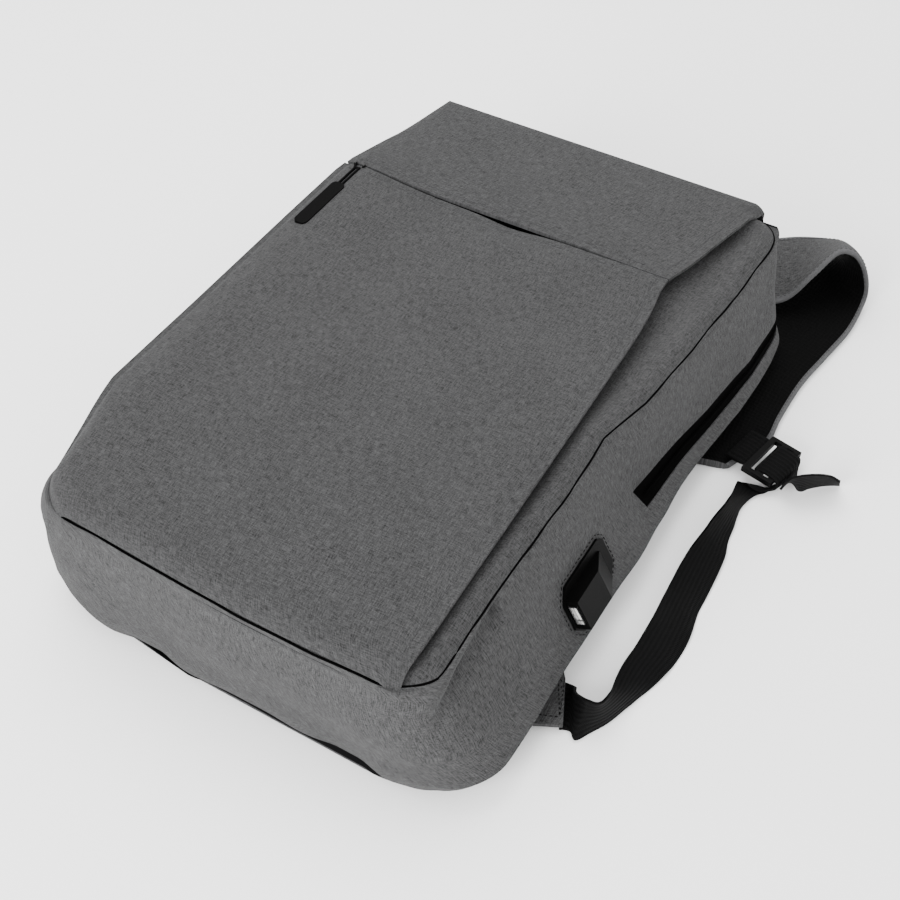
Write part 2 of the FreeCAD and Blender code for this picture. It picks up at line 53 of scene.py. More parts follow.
def add_camera():
    heading, pitch, roll = math.radians(29.902), math.radians(47.302), math.radians(0.689)
    right = Vector((math.cos(heading), math.sin(heading), 0))
    forward = Vector((-math.sin(heading) * math.cos(pitch), math.cos(heading) * math.cos(pitch), -math.sin(pitch)))
    up = right.cross(forward)
    x = right * math.cos(roll) + up * math.sin(roll)
    y = up * math.cos(roll) - right * math.sin(roll)
    data = bpy.data.cameras.new("camera")
    data.sensor_width = 36.0
    data.lens = 54.3
    camera = bpy.data.objects.new("camera", data)
    bpy.context.scene.collection.objects.link(camera)
    turn = Matrix((x, y, -forward)).transposed().to_4x4()
    camera.matrix_world = Matrix.Translation((0.3088, -0.5248, 0.6642)) @ turn
    bpy.context.scene.camera = camera


def area_light(name, place, target, size, power):
    data = bpy.data.lights.new(name, "AREA")
    data.shape = "DISK"
    data.size = size
    data.energy = power
    light = bpy.data.objects.new(name, data)
    light.location = place
    light.rotation_euler = (Vector(target) - Vector(place)).to_track_quat("-Z", "Y").to_euler()
    bpy.context.scene.collection.objects.link(light)


def add_studio():
    world = bpy.data.worlds.new("studio")
    world.use_nodes = True
    background = world.node_tree.nodes["Background"]
    background.inputs["Color"].default_value = (1, 1, 1, 1)
    background.inputs["Strength"].default_value = 2.2
    bpy.context.scene.world = world
    area_light("key", (-0.3, -1.9, 0.9), (0, 0, 0.05), 1.2, 80)
    area_light("top", (-0.6, 0.4, 1.8), (0, 0, 0), 1.6, 30)
    mesh = bpy.data.meshes.new("floor")
    half = 6.0
    mesh.from_pydata([(-half, -half, 0), (half, -half, 0), (half, half, 0), (-half, half, 0)], [], [(0, 1, 2, 3)])
    floor = bpy.data.objects.new("floor", mesh)
    bpy.context.scene.collection.objects.link(floor)
    floor.data.materials.append(plain_material("floor", (0.9, 0.9, 0.9), 0.9))


# ---- materials ----


class Nodes:
    """Short calls for a material's node tree."""

    def __init__(self, name):
        self.material = bpy.data.materials.new(name)
        self.material.use_nodes = True
        self.tree = self.material.node_tree
        self.shader = self.tree.nodes["Principled BSDF"]
        self.set(Specular_IOR_Level=0.06)

    def add(self, kind, **settings):
        node = self.tree.nodes.new(kind)
        for key, value in settings.items():
            setattr(node, key, value)
        return node

    def link(self, source, target):
        self.tree.links.new(source, target)

    def value(self, socket, value):
        if isinstance(value, bpy.types.NodeSocket):
            self.link(value, socket)
        else:
            socket.default_value = value

    def set(self, **inputs):
        """Sets inputs of the shader to values or sockets; an underscore stands for a space in a name."""
        for name, value in inputs.items():
            self.value(self.shader.inputs[name.replace("_", " ")], value)

    def math(self, operation, a, b=0.0):
        node = self.add("ShaderNodeMath", operation=operation)
        self.value(node.inputs[0], a)
        self.value(node.inputs[1], b)
        return node.outputs[0]

    def uv(self, scale_u, scale_v):
        """The cloth's own coordinates, whose unit is a metre along the cloth, scaled."""
        source = self.add("ShaderNodeUVMap")
        mapping = self.add("ShaderNodeMapping")
        mapping.inputs["Scale"].default_value = (scale_u, scale_v, 1)
        self.link(source.outputs["UV"], mapping.inputs["Vector"])
        return mapping.outputs["Vector"]

    def noise(self, vector, scale=1.0, detail=2.0, roughness=0.5):
        node = self.add("ShaderNodeTexNoise")
        self.link(vector, node.inputs["Vector"])
        node.inputs["Scale"].default_value = scale
        node.inputs["Detail"].default_value = detail
        node.inputs["Roughness"].default_value = roughness
        return node.outputs["Fac"]

    def wave(self, scale, direction):
        node = self.add("ShaderNodeTexWave", bands_direction=direction)
        self.link(self.uv(1, 1), node.inputs["Vector"])
        node.inputs["Scale"].default_value = scale
        return node.outputs["Fac"]

    def ramp(self, factor, stops):
        node = self.add("ShaderNodeValToRGB")
        self.value(node.inputs["Fac"], factor)
        elements = node.color_ramp.elements
        elements[0].position, elements[0].color = stops[0][0], (*stops[0][1], 1)
        elements[1].position, elements[1].color = stops[-1][0], (*stops[-1][1], 1)
        for place, colour in stops[1:-1]:
            elements.new(place).color = (*colour, 1)
        return node.outputs["Color"]

    def bump(self, height, distance, strength=1.0):
        node = self.add("ShaderNodeBump")
        self.link(height, node.inputs["Height"])
        node.inputs["Distance"].default_value = distance
        node.inputs["Strength"].default_value = strength
        self.link(node.outputs["Normal"], self.shader.inputs["Normal"])


def plain_material(name, colour, roughness):
    made = Nodes(name)
    made.set(Base_Color=(*colour, 1), Roughness=roughness)
    return made.material


def heather(name, dark, light, streak_u, streak_v):
    """Two-tone slub weave: fine threads both ways, with longer light and dark slubs."""
    made = Nodes(name)
    fine, slub, cloud = (3.0, 0.7), (1.0, 0.5), (2.0, 0.5)      # noise detail and roughness
    layers = ((2600, 640, fine, 0.75), (640, 2600, fine, 0.75), (1500, 160, slub, streak_v),
              (160, 1500, slub, streak_u), (22, 22, cloud, 0.1))
    total = 0.5
    for scale_u, scale_v, kind, weight in layers:
        pattern = made.math("SUBTRACT", made.noise(made.uv(scale_u, scale_v), 1.0, *kind), 0.5)
        total = made.math("ADD", total, made.math("MULTIPLY", pattern, weight))
    middle = tuple((a + b) / 2 for a, b in zip(dark, light))
    colour = made.ramp(total, ((0.25, dark), (0.5, middle), (0.75, light)))
    made.set(Base_Color=colour, Roughness=0.92, Sheen_Weight=0.04, Sheen_Roughness=0.5)
    threads = made.math("MULTIPLY", made.wave(900, "X"), made.wave(900, "Y"))
    height = made.math("ADD", made.math("MULTIPLY", threads, 0.4), total)
    made.bump(height, 0.0002, 0.6)
    return made.material


def lining():
    made = Nodes("lining_cloth")
    weave = made.math("ADD", made.wave(500, "X"), made.wave(500, "Y"))
    shades = (0.2, (0.004, 0.004, 0.0043)), (0.8, (0.008, 0.008, 0.0086))
    made.set(Base_Color=made.ramp(made.math("MULTIPLY", weave, 0.5), shades), Roughness=0.8)
    made.bump(weave, 0.0001, 0.4)
    return made.material


def air_mesh():
    """Black spacer mesh: rows of small open cells."""
    made = Nodes("air_mesh")
    cells = made.add("ShaderNodeTexVoronoi", feature="F1")
    cells.inputs["Scale"].default_value = 1.0
    cells.inputs["Randomness"].default_value = 0.25
    made.link(made.uv(380, 300), cells.inputs["Vector"])
    shades = (0.2, (0.0001, 0.0001, 0.0001)), (0.6, (0.0007, 0.0007, 0.0007))
    made.set(Base_Color=made.ramp(cells.outputs["Distance"], shades), Roughness=0.85)
    made.bump(cells.outputs["Distance"], 0.0006, 0.8)
    return made.material


def webbing():
    """Black ribbed tape: ribs along its length, with a fine cross weave."""
    made = Nodes("webbing")
    ribs, picks = made.wave(95, "X"), made.wave(260, "Y")
    grain = made.noise(made.uv(900, 900), 1.0, 2.0)
    height = made.math("ADD", ribs, made.math("MULTIPLY", picks, 0.5))
    shade = made.math("ADD", made.math("MULTIPLY", height, 0.45), made.math("MULTIPLY", grain, 0.4))
    shades = (0.2, (0.0003, 0.0003, 0.0003)), (0.9, (0.0022, 0.0022, 0.0023))
    made.set(Base_Color=made.ramp(shade, shades), Roughness=0.75)
    made.bump(height, 0.0004, 0.8)
    return made.material


def moulded(name, colour, roughness, grain_scale, shine=0.2):
    """Moulded plastic, rubber or enamel: fine grain and faint colour change, in object space."""
    made = Nodes(name)
    coords = made.add("ShaderNodeTexCoord").outputs["Object"]
    grain = made.noise(coords, grain_scale, 3.0)
    broad = made.noise(coords, 60.0, 2.0)
    low, high = (tuple(c * share for c in colour) for share in (0.8, 1.25))
    rough = made.math("ADD", made.math("MULTIPLY", grain, 0.15), roughness - 0.07)
    made.set(Base_Color=made.ramp(broad, ((0.3, low), (0.7, high))), Roughness=rough, Specular_IOR_Level=shine)
    made.bump(grain, 0.0001, 0.5)
    return made.material


def metal(name, colour, roughness):
    made = Nodes(name)
    coords = made.add("ShaderNodeTexCoord").outputs["Object"]
    streaks = made.noise(coords, 900.0, 2.0)
    rough = made.math("ADD", made.math("MULTIPLY", streaks, 0.15), roughness - 0.07)
    made.set(Base_Color=(*colour, 1), Metallic=1.0, Roughness=rough)
    made.bump(streaks, 0.00005, 0.4)
    return made.material


FRONT = heather("heather_front", (0.009, 0.009, 0.0091), (0.053, 0.053, 0.054), 0.5, 0.5)
SIDE = heather("heather_side", (0.0105, 0.0105, 0.0106), (0.063, 0.063, 0.064), 0.35, 0.7)
LINING = lining()
MESH = air_mesh()
WEBBING = webbing()
BINDING = heather("binding_tape", (0.04, 0.04, 0.041), (0.08, 0.08, 0.082), 0.2, 0.4)
THREAD = plain_material("thread", (0.035, 0.035, 0.036), 0.7)
BLACK_THREAD = plain_material("thread_black", (0.0012, 0.0012, 0.0012), 0.7)
# black zip tape; the same black on the front piping cord is partly painted shade, the dark line of the seam's crease
TAPE_AND_SEAM_SHADE = moulded("zip_tape", (0.0006, 0.0006, 0.0006), 0.9, 2500, 0.02)
PLASTIC = moulded("moulded_black", (0.0008, 0.0008, 0.0008), 0.5, 1800, 0.06)
RUBBER = moulded("rubber_black", (0.0006, 0.0006, 0.0006), 0.6, 2200, 0.03)
ENAMEL = moulded("enamel_black", (0.002, 0.002, 0.002), 0.35, 1500, 0.3)
STEEL = metal("plated_steel", (0.62, 0.62, 0.63), 0.28)
GOLD = metal("gold_contacts", (0.85, 0.65, 0.3), 0.3)
IVORY = moulded("ivory_plastic", (0.6, 0.6, 0.57), 0.5, 1800)


# ---- mesh tools ----


def unit(v):
    return v / np.maximum(np.linalg.norm(v, axis=-1, keepdims=True), 1e-12)


def set_uv(mesh, uvs):
    """Texture coordinates from one pair per vertex."""
    loops = np.zeros(len(mesh.loops), int)
    mesh.loops.foreach_get("vertex_index", loops)
    layer = mesh.uv_layers.new(name="UVMap")
    layer.data.foreach_set("uv", np.asarray(uvs, np.float32)[loops].ravel())


def vertex_points(mesh):
    points = np.zeros(len(mesh.vertices) * 3)
    mesh.vertices.foreach_get("co", points)
    return points.reshape(-1, 3)


def finish_mesh(name, points, faces, materials, indices=None, uvs=None, angle=50):
    """Links a smooth-shaded mesh. points in metres; uvs, one per point, in metres along the cloth."""
    mesh = bpy.data.meshes.new(name)
    mesh.from_pydata([tuple(p) for p in points], [], faces)
    for material in materials:
        mesh.materials.append(material)
    if indices is not None:
        mesh.polygons.foreach_set("material_index", indices)
    if uvs is not None:
        set_uv(mesh, uvs)
    mesh.polygons.foreach_set("use_smooth", [True] * len(mesh.polygons))
    mesh.set_sharp_from_angle(angle=math.radians(angle))
    mesh.update()
    obj = bpy.data.objects.new(name, mesh)
    bpy.context.scene.collection.objects.link(obj)
    return obj


def grid_normals(grid, closed=False):
    """Unit normals of a grid of points, rows by columns by 3."""
    if closed:
        across = np.roll(grid, -1, 1) - np.roll(grid, 1, 1)
    else:
        across = np.gradient(grid, axis=1)
    return unit(np.cross(across, np.gradient(grid, axis=0)))


def grid_uv(grid):
    """Coordinates in metres along the grid: u along the columns' run, v along the rows' run."""
    u = np.zeros(grid.shape[:2])
    v = np.zeros(grid.shape[:2])
    u[:, 1:] = np.cumsum(np.linalg.norm(np.diff(grid, axis=1), axis=2), axis=1)
    v[1:, :] = np.cumsum(np.linalg.norm(np.diff(grid, axis=0), axis=2), axis=0)
    u = u - u.mean(axis=1, keepdims=True) + u.mean()
    return np.stack((u, v), axis=2)


def cloth(name, grid, materials, thick, keep=None, closed=False, flip=False, uv=None):
    """A grid in mm as a sheet of that thickness: the grid is its outer face. keep is a mask of its cells."""
    grid = grid * MM
    rows, columns = grid.shape[:2]
    normals = grid_normals(grid, closed)
    if flip:
        normals = -normals
    if uv is None:
        uv = grid_uv(grid)
    count = rows * columns
    points = np.concatenate((grid.reshape(-1, 3), (grid - normals * (thick * MM)).reshape(-1, 3)))
    uvs = np.concatenate((uv.reshape(-1, 2), uv.reshape(-1, 2)))
    faces, indices, edges = [], [], {}
    for i in range(rows - 1):
        for j in range(columns if closed else columns - 1):
            if keep is not None and not keep[i, j]:
                continue
            k = (j + 1) % columns
            face = (i * columns + j, i * columns + k, (i + 1) * columns + k, (i + 1) * columns + j)
            if flip:
                face = face[::-1]
            faces.append(face)
            indices.append(0)
            faces.append(tuple(v + count for v in face[::-1]))
            indices.append(len(materials) - 1)
            for a, b in zip(face, face[1:] + face[:1]):
                if (b, a) in edges:
                    del edges[(b, a)]
                else:
                    edges[(a, b)] = True
    for a, b in edges:
        faces.append((b, a, a + count, b + count))
        indices.append(0)
    used = sorted({v for face in faces for v in face})
    place = {v: n for n, v in enumerate(used)}
    faces = [tuple(place[v] for v in face) for face in faces]
    return finish_mesh(name, points[used], faces, materials, indices, uvs[used])


def smooth_path(points, per_span=8):
    """Points on a Catmull-Rom curve through the given points (any number of values each)."""
    p = np.asarray(points, float)
    shape = p.shape
    p = p.reshape(shape[0], -1)
    p = np.concatenate((2 * p[:1] - p[1:2], p, 2 * p[-1:] - p[-2:-1]))
    out = []
    for i in range(1, len(p) - 2):
        for t in np.arange(per_span) / per_span:
            out.append(0.5 * (2 * p[i] + (p[i + 1] - p[i - 1]) * t
                              + (2 * p[i - 1] - 5 * p[i] + 4 * p[i + 1] - p[i + 2]) * t * t
                              + (3 * p[i] - p[i - 1] - 3 * p[i + 1] + p[i + 2]) * t ** 3))
    out.append(p[-2])
    return np.array(out).reshape((-1,) + shape[1:])


def ring_faces(rows, columns):
    """Quads between rings of points, and a cap at each end."""
    faces = []
    for i in range(rows - 1):
        for j in range(columns):
            k = (j + 1) % columns
            faces.append((i * columns + j, i * columns + k, (i + 1) * columns + k, (i + 1) * columns + j))
    return faces + [tuple(reversed(range(columns))), tuple((rows - 1) * columns + j for j in range(columns))]


def tube(name, path, radius, material, sides=8, flat=1.0):
    """A round or flattened cord along a path of points in mm, with rounded ends."""
    run = unit(np.gradient(path, axis=0))
    side = unit(np.cross(run, (0.0, 0.0, 1.0)))
    top = np.cross(side, run)
    radii = np.full((len(path), 1), radius)
    radii[0] = radii[-1] = radius * 0.45
    angles = 2 * math.pi * np.arange(sides) / sides
    rings = [path + side * radii * math.cos(a) + top * radii * flat * math.sin(a) for a in angles]
    ring = np.stack(rings, axis=1).reshape(-1, 3) * MM
    faces = [face[::-1] for face in ring_faces(len(path), sides)]
    return finish_mesh(name, ring, faces, [material], angle=60)


def along(values, place, s):
    """The values, one row per place, at distance s."""
    return np.array([np.interp(s, place, column) for column in values.T])


def stitches(name, paths, ups, material, pitch=3.4, length=2.3, radius=0.28):
    """Rows of stitches: small spindles lying along each path, sitting on its surface, all in mm."""
    points, faces = [], []
    for path, up in zip(paths, ups):
        path = np.asarray(path, float) * MM
        up = np.broadcast_to(np.asarray(up, float), path.shape)
        step = np.linalg.norm(np.diff(path, axis=0), axis=1)
        place = np.concatenate(([0], np.cumsum(step)))
        for start in np.arange(pitch * MM / 2, place[-1] - length * MM, pitch * MM):
            ends = [along(path, place, s) for s in (start, start + length * MM)]
            lift = unit(along(up, place, start))
            run = unit(ends[1] - ends[0])
            side = np.cross(run, lift)
            base = len(points)
            points.append(ends[0] - lift * 0.1 * MM)
            for share, grow in ((0.2, 0.9), (0.5, 1.0), (0.8, 0.9)):
                middle = ends[0] + (ends[1] - ends[0]) * share
                for k in range(6):
                    a = math.pi / 3 * k
                    points.append(middle + (side * math.cos(a) + lift * math.sin(a)) * radius * grow * MM)
            points.append(ends[1] - lift * 0.1 * MM)
            for k in range(6):
                m = (k + 1) % 6
                faces.append((base, base + 1 + m, base + 1 + k))
                for ring in (0, 1):
                    low, high = base + 1 + ring * 6, base + 7 + ring * 6
                    faces.append((low + k, low + m, high + m, high + k))
                faces.append((base + 13 + k, base + 13 + m, base + 19))
    return finish_mesh(name, points, faces, [material], angle=80)


def ease(x):
    x = np.clip(x, 0, 1)
    return x * x * (3 - 2 * x)


def ripple(points, size, seed):
    """Smooth noise from -1 to 1 at points given in mm, with features about that size."""
    flat = points.reshape(-1, 3) / size
    values = [noise.noise(Vector((x + seed, y - seed, z))) for x, y, z in flat]
    return np.array(values).reshape(points.shape[:-1]) * 1.6


def flat_ripple(x, y, size, seed):
    return ripple(np.stack((x, y, np.zeros_like(x)), -1), size, seed)


def attach(obj, body, slot, *replaced):
    """The piece rides the body; if body is "fold", a piece of the opening front half's fold, it only has its
    transform baked into its mesh.
    """
    if body == "fold":
        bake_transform(obj)
    else:
        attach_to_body(obj, body)
    if replaced:
        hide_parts(*replaced)


# ---- shape of the bag: the sections that the CAD shell is built on, in mm ----

# height: left half width at the low end and the top end, the same for the right, low and top y, radius
BACK, WIDE = (147, 149, 147, 149, -219, 219, 34), (153, 156, 153, 156, -224, 223, 36)
SEAM = (142, 143, 114, 140, -222, 214, 26)
LOW_SECTIONS = {8: BACK, 22: WIDE, 58: (149, 150, 131, 138, -224, 220, 32), 97: SEAM}
TOP_SECTIONS = {8: BACK, 22: WIDE, 43: (146, 147, 120, 151, -221, 213, 30), 97: SEAM}
SEAM_Z = 97.0
COVER_Z = 107.0
ZIP_END_Y = 4.0
STRAIGHT_ENDS, STRAIGHT_SIDES, CORNER = 64, 150, 16     # samples round the outline


def section(sections, z):
    """Section values at a height, straight between the listed ones."""
    heights = sorted(sections)
    return [np.interp(z, heights, [sections[h][i] for h in heights]) for i in range(7)]


def polar(angle):
    return np.array((math.cos(angle), math.sin(angle)))


def outline(values, grow=0.0):
    """Points round a section, counter-clockwise from the low end's left corner, and outward normals."""
    left_low, left_top, right_low, right_top, y_low, y_top, radius = values
    corners = np.array([(-left_low, y_low), (right_low, y_low), (right_top, y_top), (-left_top, y_top)])
    points, normals, arcs = [], [], []
    for i, corner in enumerate(corners):
        before, after = unit(corners[i - 1] - corner), unit(corners[(i + 1) % 4] - corner)
        half = math.acos(np.clip(before @ after, -1, 1)) / 2
        centre = corner + unit(before + after) * radius / math.sin(half)
        start = corner + before * radius / math.tan(half)
        first = math.atan2(*(start - centre)[::-1])
        arcs.append((centre, first, math.pi - 2 * half))
    for i, (centre, first, sweep) in enumerate(arcs):
        for share in np.arange(CORNER) / CORNER:
            normals.append(polar(first + sweep * share))
            points.append(centre + normals[-1] * radius)
        outward = polar(first + sweep)
        start = centre + outward * radius
        next_centre, next_angle, _ = arcs[(i + 1) % 4]
        end = next_centre + polar(next_angle) * radius
        count = (STRAIGHT_ENDS, STRAIGHT_SIDES)[i % 2]
        points += [start + (end - start) * t for t in np.arange(count) / count]
        normals += [outward] * count
    points, normals = np.array(points), np.array(normals)
    return points + normals * grow, normals


# the sides as they wander: offset along x at each y, at the front seam, the zip and the widest line
SEAM_WANDER = ((-222, 4), (-205, 8), (-189, 6), (-155, 3), (-104, 0.5), (-65, -0.5), (-40, -3.2), (-18, -5.4),
               (-3, -3), (20, 1), (76, 3), (113, 2.5), (137, 3.5), (160, 2.5), (191, 1.5), (214, 3))
LEFT_WANDER = ((-222, 14), (-202, 10), (-165, 5), (-130, -1), (-53, -1), (57, -2), (107, -2), (124, 0), (166, 8),
               (199, 13), (214, 14))
ZIP_WANDER = ((0, 0), (50, 2), (88, 5), (143, 7), (175, 5), (200, 3), (214, 0))
WIDE_WANDER = ((30, 0), (64, 0.5), (90, 2), (118, 4.8), (150, 5), (176, 3.4), (202, 1.5), (216, 0))
BACK_Z = 8
Z_ROWS = np.array([8, 11, 15, 18.5, 22, 26, 29.5, 32, 34.8, 37.5, 40.2, 43, 46, 50, 56, 62, 68, 74, 80, 85, 89, 92.5,
                   95, 96.7, 97.2, 96.6])
CURL = {22: 0.0, 23: -0.3, 24: -1.4, 25: -3.0}          # the cloth turns in at the front seam
ZIP_LOW_ROW, ZIP_MIDDLE_ROW, ZIP_HIGH_ROW = 7, 9, 11
PORT_Y, PORT_Z = -77.0, 41.0


def wander(table, y):
    return np.interp(y, *np.transpose(table))


def on_right(line):
    """1 on the right side of an outline, falling to 0 towards its middle."""
    return ease((line[:, 0] - 60) / 40)


def hump(value, middle, width, power=2):
    """A smooth hump, 1 at the middle."""
    return np.exp(-((value - middle) / width) ** power)


def wall_grid():
    """Outer face of the side walls, low end and top end: rows by height, columns round the bag, in mm."""
    rows = []
    for i, z in enumerate(Z_ROWS):
        low, low_normals = outline(section(LOW_SECTIONS, min(z, SEAM_Z)))
        top, top_normals = outline(section(TOP_SECTIONS, min(z, SEAM_Z)))
        share = ease((low[:, 1:2] - ZIP_END_Y + 24) / 26)
        line = low + (top - low) * share
        normal = unit(low_normals + (top_normals - low_normals) * share)
        opens, y = share[:, 0], line[:, 1]
        whole = np.clip((z - BACK_Z) / (SEAM_Z - BACK_Z), 0, 1)
        rise = np.clip((z - 45) / 52, 0, 1)
        bulge = 2.4 * (math.sin(math.pi * rise) * opens + math.sin(math.pi * whole) * (1 - opens))
        points = np.column_stack((line, np.full(len(line), z)))
        waves = ripple(points * (1, 1, 1.6), 62, 3.0) * 2.2 + ripple(points * (1, 1, 0.8), 27, 9.0) * 0.9
        free = math.sin(math.pi * whole) ** 0.7
        if ZIP_LOW_ROW <= i <= ZIP_HIGH_ROW:
            free = free * (1 - 0.75 * opens)
        port = (line[:, 0] > 0) * hump(y, PORT_Y, 34, 4) * hump(z, PORT_Z, 26, 4)
        offset = (bulge + waves * free) * (1 - port) + CURL.get(i, 0.0) + pinch(line, z)
        corner = ease((-line[:, 0] - 95) / 45) * ease((-170 - y) / 45)
        offset += corner * (4.0 * hump(z, 88, 15) - 6.0 * (1 - whole) ** 0.7)
        low_wave = np.maximum(ripple(points * (1, 1, 0.3), 34, 41.0) * hump(z, 11, 15), -0.15)
        offset += (4.5 * low_wave + 1.2 * hump(z, 11, 15)) * ease((-150 - y) / 40)
        line = line + normal * offset[:, None]
        line[:, 0] += on_right(line) * wander(SEAM_WANDER, y) * whole ** 3
        line[:, 0] += on_right(-line) * wander(LEFT_WANDER, y) * whole ** 3
        line[:, 0] += on_right(line) * wander(ZIP_WANDER, y) * hump(z, 42, 16)
        line[:, 0] += on_right(line) * wander(WIDE_WANDER, y) * hump(z, 20, 12)
        line[:, 1] -= low_sag(*line.T) * whole ** 3
        hang = low_drop(*line.T) * max(0.0, 1 - (z - BACK_Z) / 24)
        rows.append(np.column_stack((line, z - hang)))
    return np.array(rows)


def low_sag(x, y):
    """How far the low edge bows outwards; negative where the top right corner stands out."""
    bottom = 5.0 * hump(x, 25, 95) * ease((-150 - y) / 60)
    return bottom - 6.0 * ease((y - 150) / 60) * ease((x - 10) / 90)


def low_drop(x, y):
    """How far the soft low end hangs towards the ground, clear of the back pads and the corner tabs."""
    return 5.4 * ease((-198 - y) / 14) * ease((114 - np.abs(x)) / 24)


def pinch(line, z):
    """Folds in the cloth at the low end's corners, below the seam."""
    x, low_end = line[:, 0], line[:, 1] < -150
    folds = 2.6 * hump(x, 112, 5) - 6.5 * hump(x, 121, 2.6) * (x > 80) - 2.2 * hump(x, -124, 4)
    return folds * low_end * hump(z, 88, 16)


WALL = wall_grid()
WALL_UV = grid_uv(WALL * MM)


def build_walls():
    rows = np.arange(len(Z_ROWS) - 1)[:, None]
    y = WALL[0, :, 1]
    low = (y + np.roll(y, -1)) / 2 < ZIP_END_Y          # cells by column, below the ends of the zip
    top = ~low
    side = cloth("side_cloth", WALL, [SIDE, LINING], 2, low | (top & (rows >= ZIP_HIGH_ROW)), True, uv=WALL_UV)
    attach(side, "fold", "side_fabric", "side_panel_left", "side_panel_right", "bottom_panel",
           "front_gusset_left", "front_gusset_right", "front_gusset_top")
    base = cloth("base_cloth", WALL, [SIDE, LINING], 2, top & (rows < ZIP_LOW_ROW), True, uv=WALL_UV)
    attach(base, "bag", "side_fabric", "back_gusset")
    sunk = WALL.copy()
    inward = -grid_normals(WALL, True)
    sunk[ZIP_LOW_ROW:ZIP_HIGH_ROW + 1] += inward[ZIP_LOW_ROW:ZIP_HIGH_ROW + 1] * 0.9
    sunk[ZIP_MIDDLE_ROW] += inward[ZIP_MIDDLE_ROW] * 0.5
    for half, body, first, last in (("back", "bag", ZIP_LOW_ROW, ZIP_MIDDLE_ROW),
                                    ("front", "fold", ZIP_MIDDLE_ROW, ZIP_HIGH_ROW)):
        tape = cloth("zip_tape_" + half, sunk, [TAPE_AND_SEAM_SHADE], 0.9, top & (rows >= first) & (rows < last), True, uv=WALL_UV)
        attach(tape, body, "zip_tape", "main_zip_tape_" + half)


def build_zip_line():
    """The coil, from the right side round the top to the left."""
    line = WALL[ZIP_MIDDLE_ROW]
    line = line[line[:, 1] >= ZIP_END_Y]
    turn = np.unwrap(np.arctan2(line[:, 1] - ZIP_END_Y + 40, line[:, 0]))
    coil = tube("zip_coil", line[np.argsort(turn)], 0.8, TAPE_AND_SEAM_SHADE, sides=6)
    attach(coil, "bag", "zip_coil", "main_zip_coil")


def seam_line(grow=0.0, z=SEAM_Z):
    """The front seam in mm, as it wanders, counter-clockwise from the low end's left corner."""
    line, normals = outline(section(TOP_SECTIONS, SEAM_Z), grow)
    line[:, 0] += on_right(line) * wander(SEAM_WANDER, line[:, 1])
    line[:, 0] += on_right(-line) * wander(LEFT_WANDER, line[:, 1])
    line[:, 1] -= low_sag(*line.T)
    return np.column_stack((line, np.full(len(line), z)))


def build_seam():
    """The piping sunk between the front and the walls: a cord whose black is partly painted shade, standing for the
    dark crease of the seam; as a fold piece it only has its transform baked.
    """
    deep, shallow = seam_line(-1.5, SEAM_Z - 0.1), seam_line(-1.0, SEAM_Z - 0.2)
    low = ease((-195 - deep[:, 1:2]) / 20) * ease((108 - deep[:, :1]) / 12)
    line = deep + (shallow - deep) * low
    line += (ripple(line, 24, 2.0) * 0.5)[:, None] * (1, 1, 0)
    path = np.roll(line, -100, axis=0)
    # the cord's black is painted shade: it draws the dark line of the seam's crease
    piping = tube("front_piping_painted_shade", np.concatenate((path, path[:1])), 0.7, TAPE_AND_SEAM_SHADE)
    attach(piping, "fold", "zip_tape", "piping_lower", "piping_upper")


# ---- front: under panel, cover and yoke ----


def inside_distance(x, y):
    """How far each point lies inside the front seam, in mm; never less than nought."""
    line = seam_line()[:, :2]
    run = unit(np.roll(line, -1, 0) - np.roll(line, 1, 0))
    outward = np.column_stack((run[:, 1], -run[:, 0]))
    points = np.column_stack((x.ravel(), y.ravel()))
    out = np.empty(len(points))
    for i in range(0, len(points), 4000):
        gap = points[i:i + 4000, None, :] - line[None]
        squares = (gap ** 2).sum(-1)
        nearest = squares.argmin(1)
        straight = -((points[i:i + 4000] - line[nearest]) * outward[nearest]).sum(1)
        direct = np.sqrt(squares.min(1))
        out[i:i + 4000] = np.where(direct < 12, np.maximum(straight, 0), direct * (straight > 0))
    return out.reshape(x.shape)


def half_outline(line, side):
    """An outline's points on the right (side 1) or the left (side -1), by rising y."""
    half = line[line[:, 0] * side > 0]
    return half[np.argsort(half[:, 1])]


def seam_x(y, side):
    """x of the front seam at each y, on that side."""
    half = half_outline(seam_line()[:, :2], side)
    x = np.interp(y, half[:, 1], half[:, 0])
    for end in (half[0], half[-1]):
        x = np.where(np.abs(y - end[1]) < 0.3, end[0], x)
    return x


FRONT_LOW_Y, FRONT_TOP_Y = -222.0, 214.0
WING = smooth_path([(104, -240), (108, -214), (107, -140), (105, -48), (102, 66), (97, 112), (104, 140),
                    (113, 182), (122, 222)], 8)


def wing_x(y):
    return np.interp(y, WING[:, 1], WING[:, 0])


def left_bulge(x, y):
    """How much the soft left edge of the front stands out and up, from 0 to 1."""
    return ease((-x - 70) / 60) * ease((y + 215) / 90) * ease((190 - y) / 70)


def cover_height(x, y, depth, proud=0.0):
    """Height of the front cover, which rises from the seam in a round edge and is gently crowned."""
    soft = left_bulge(x, y)
    rise = np.clip((depth + proud + 4.0 * soft) / (15 - 8 * soft), 0, 1)
    z = SEAM_Z + 0.4 + (COVER_Z - SEAM_Z) * np.sqrt(1 - (1 - rise) ** 2)
    z += (0.9 * flat_ripple(x, y, 95, 21.0) + 0.35 * flat_ripple(x, y, 34, 5.0)) * ease(depth / 50)
    return z + 3.0 * soft * ease((depth + 4) / 20)


def spread(count, dense_low=0.0, dense_high=0.0):
    """Values from 0 to 1, closer together towards the ends that are asked for."""
    t = np.linspace(0, 1, count)
    t = t * (1 - dense_low) + dense_low * t ** 2
    return 1 - ((1 - t) * (1 - dense_high) + dense_high * (1 - t) ** 2)


def front_grid(ys, x_left, x_right, columns, height, dense, sag=True):
    """A grid over the front between two edges given at each y, in mm."""
    x = x_left[:, None] + (x_right - x_left)[:, None] * spread(columns, *dense)
    y = np.repeat(ys[:, None], columns, 1)
    if sag:
        y = y - low_sag(x, y)
    return np.stack((x, y, height(x, y)), -1)


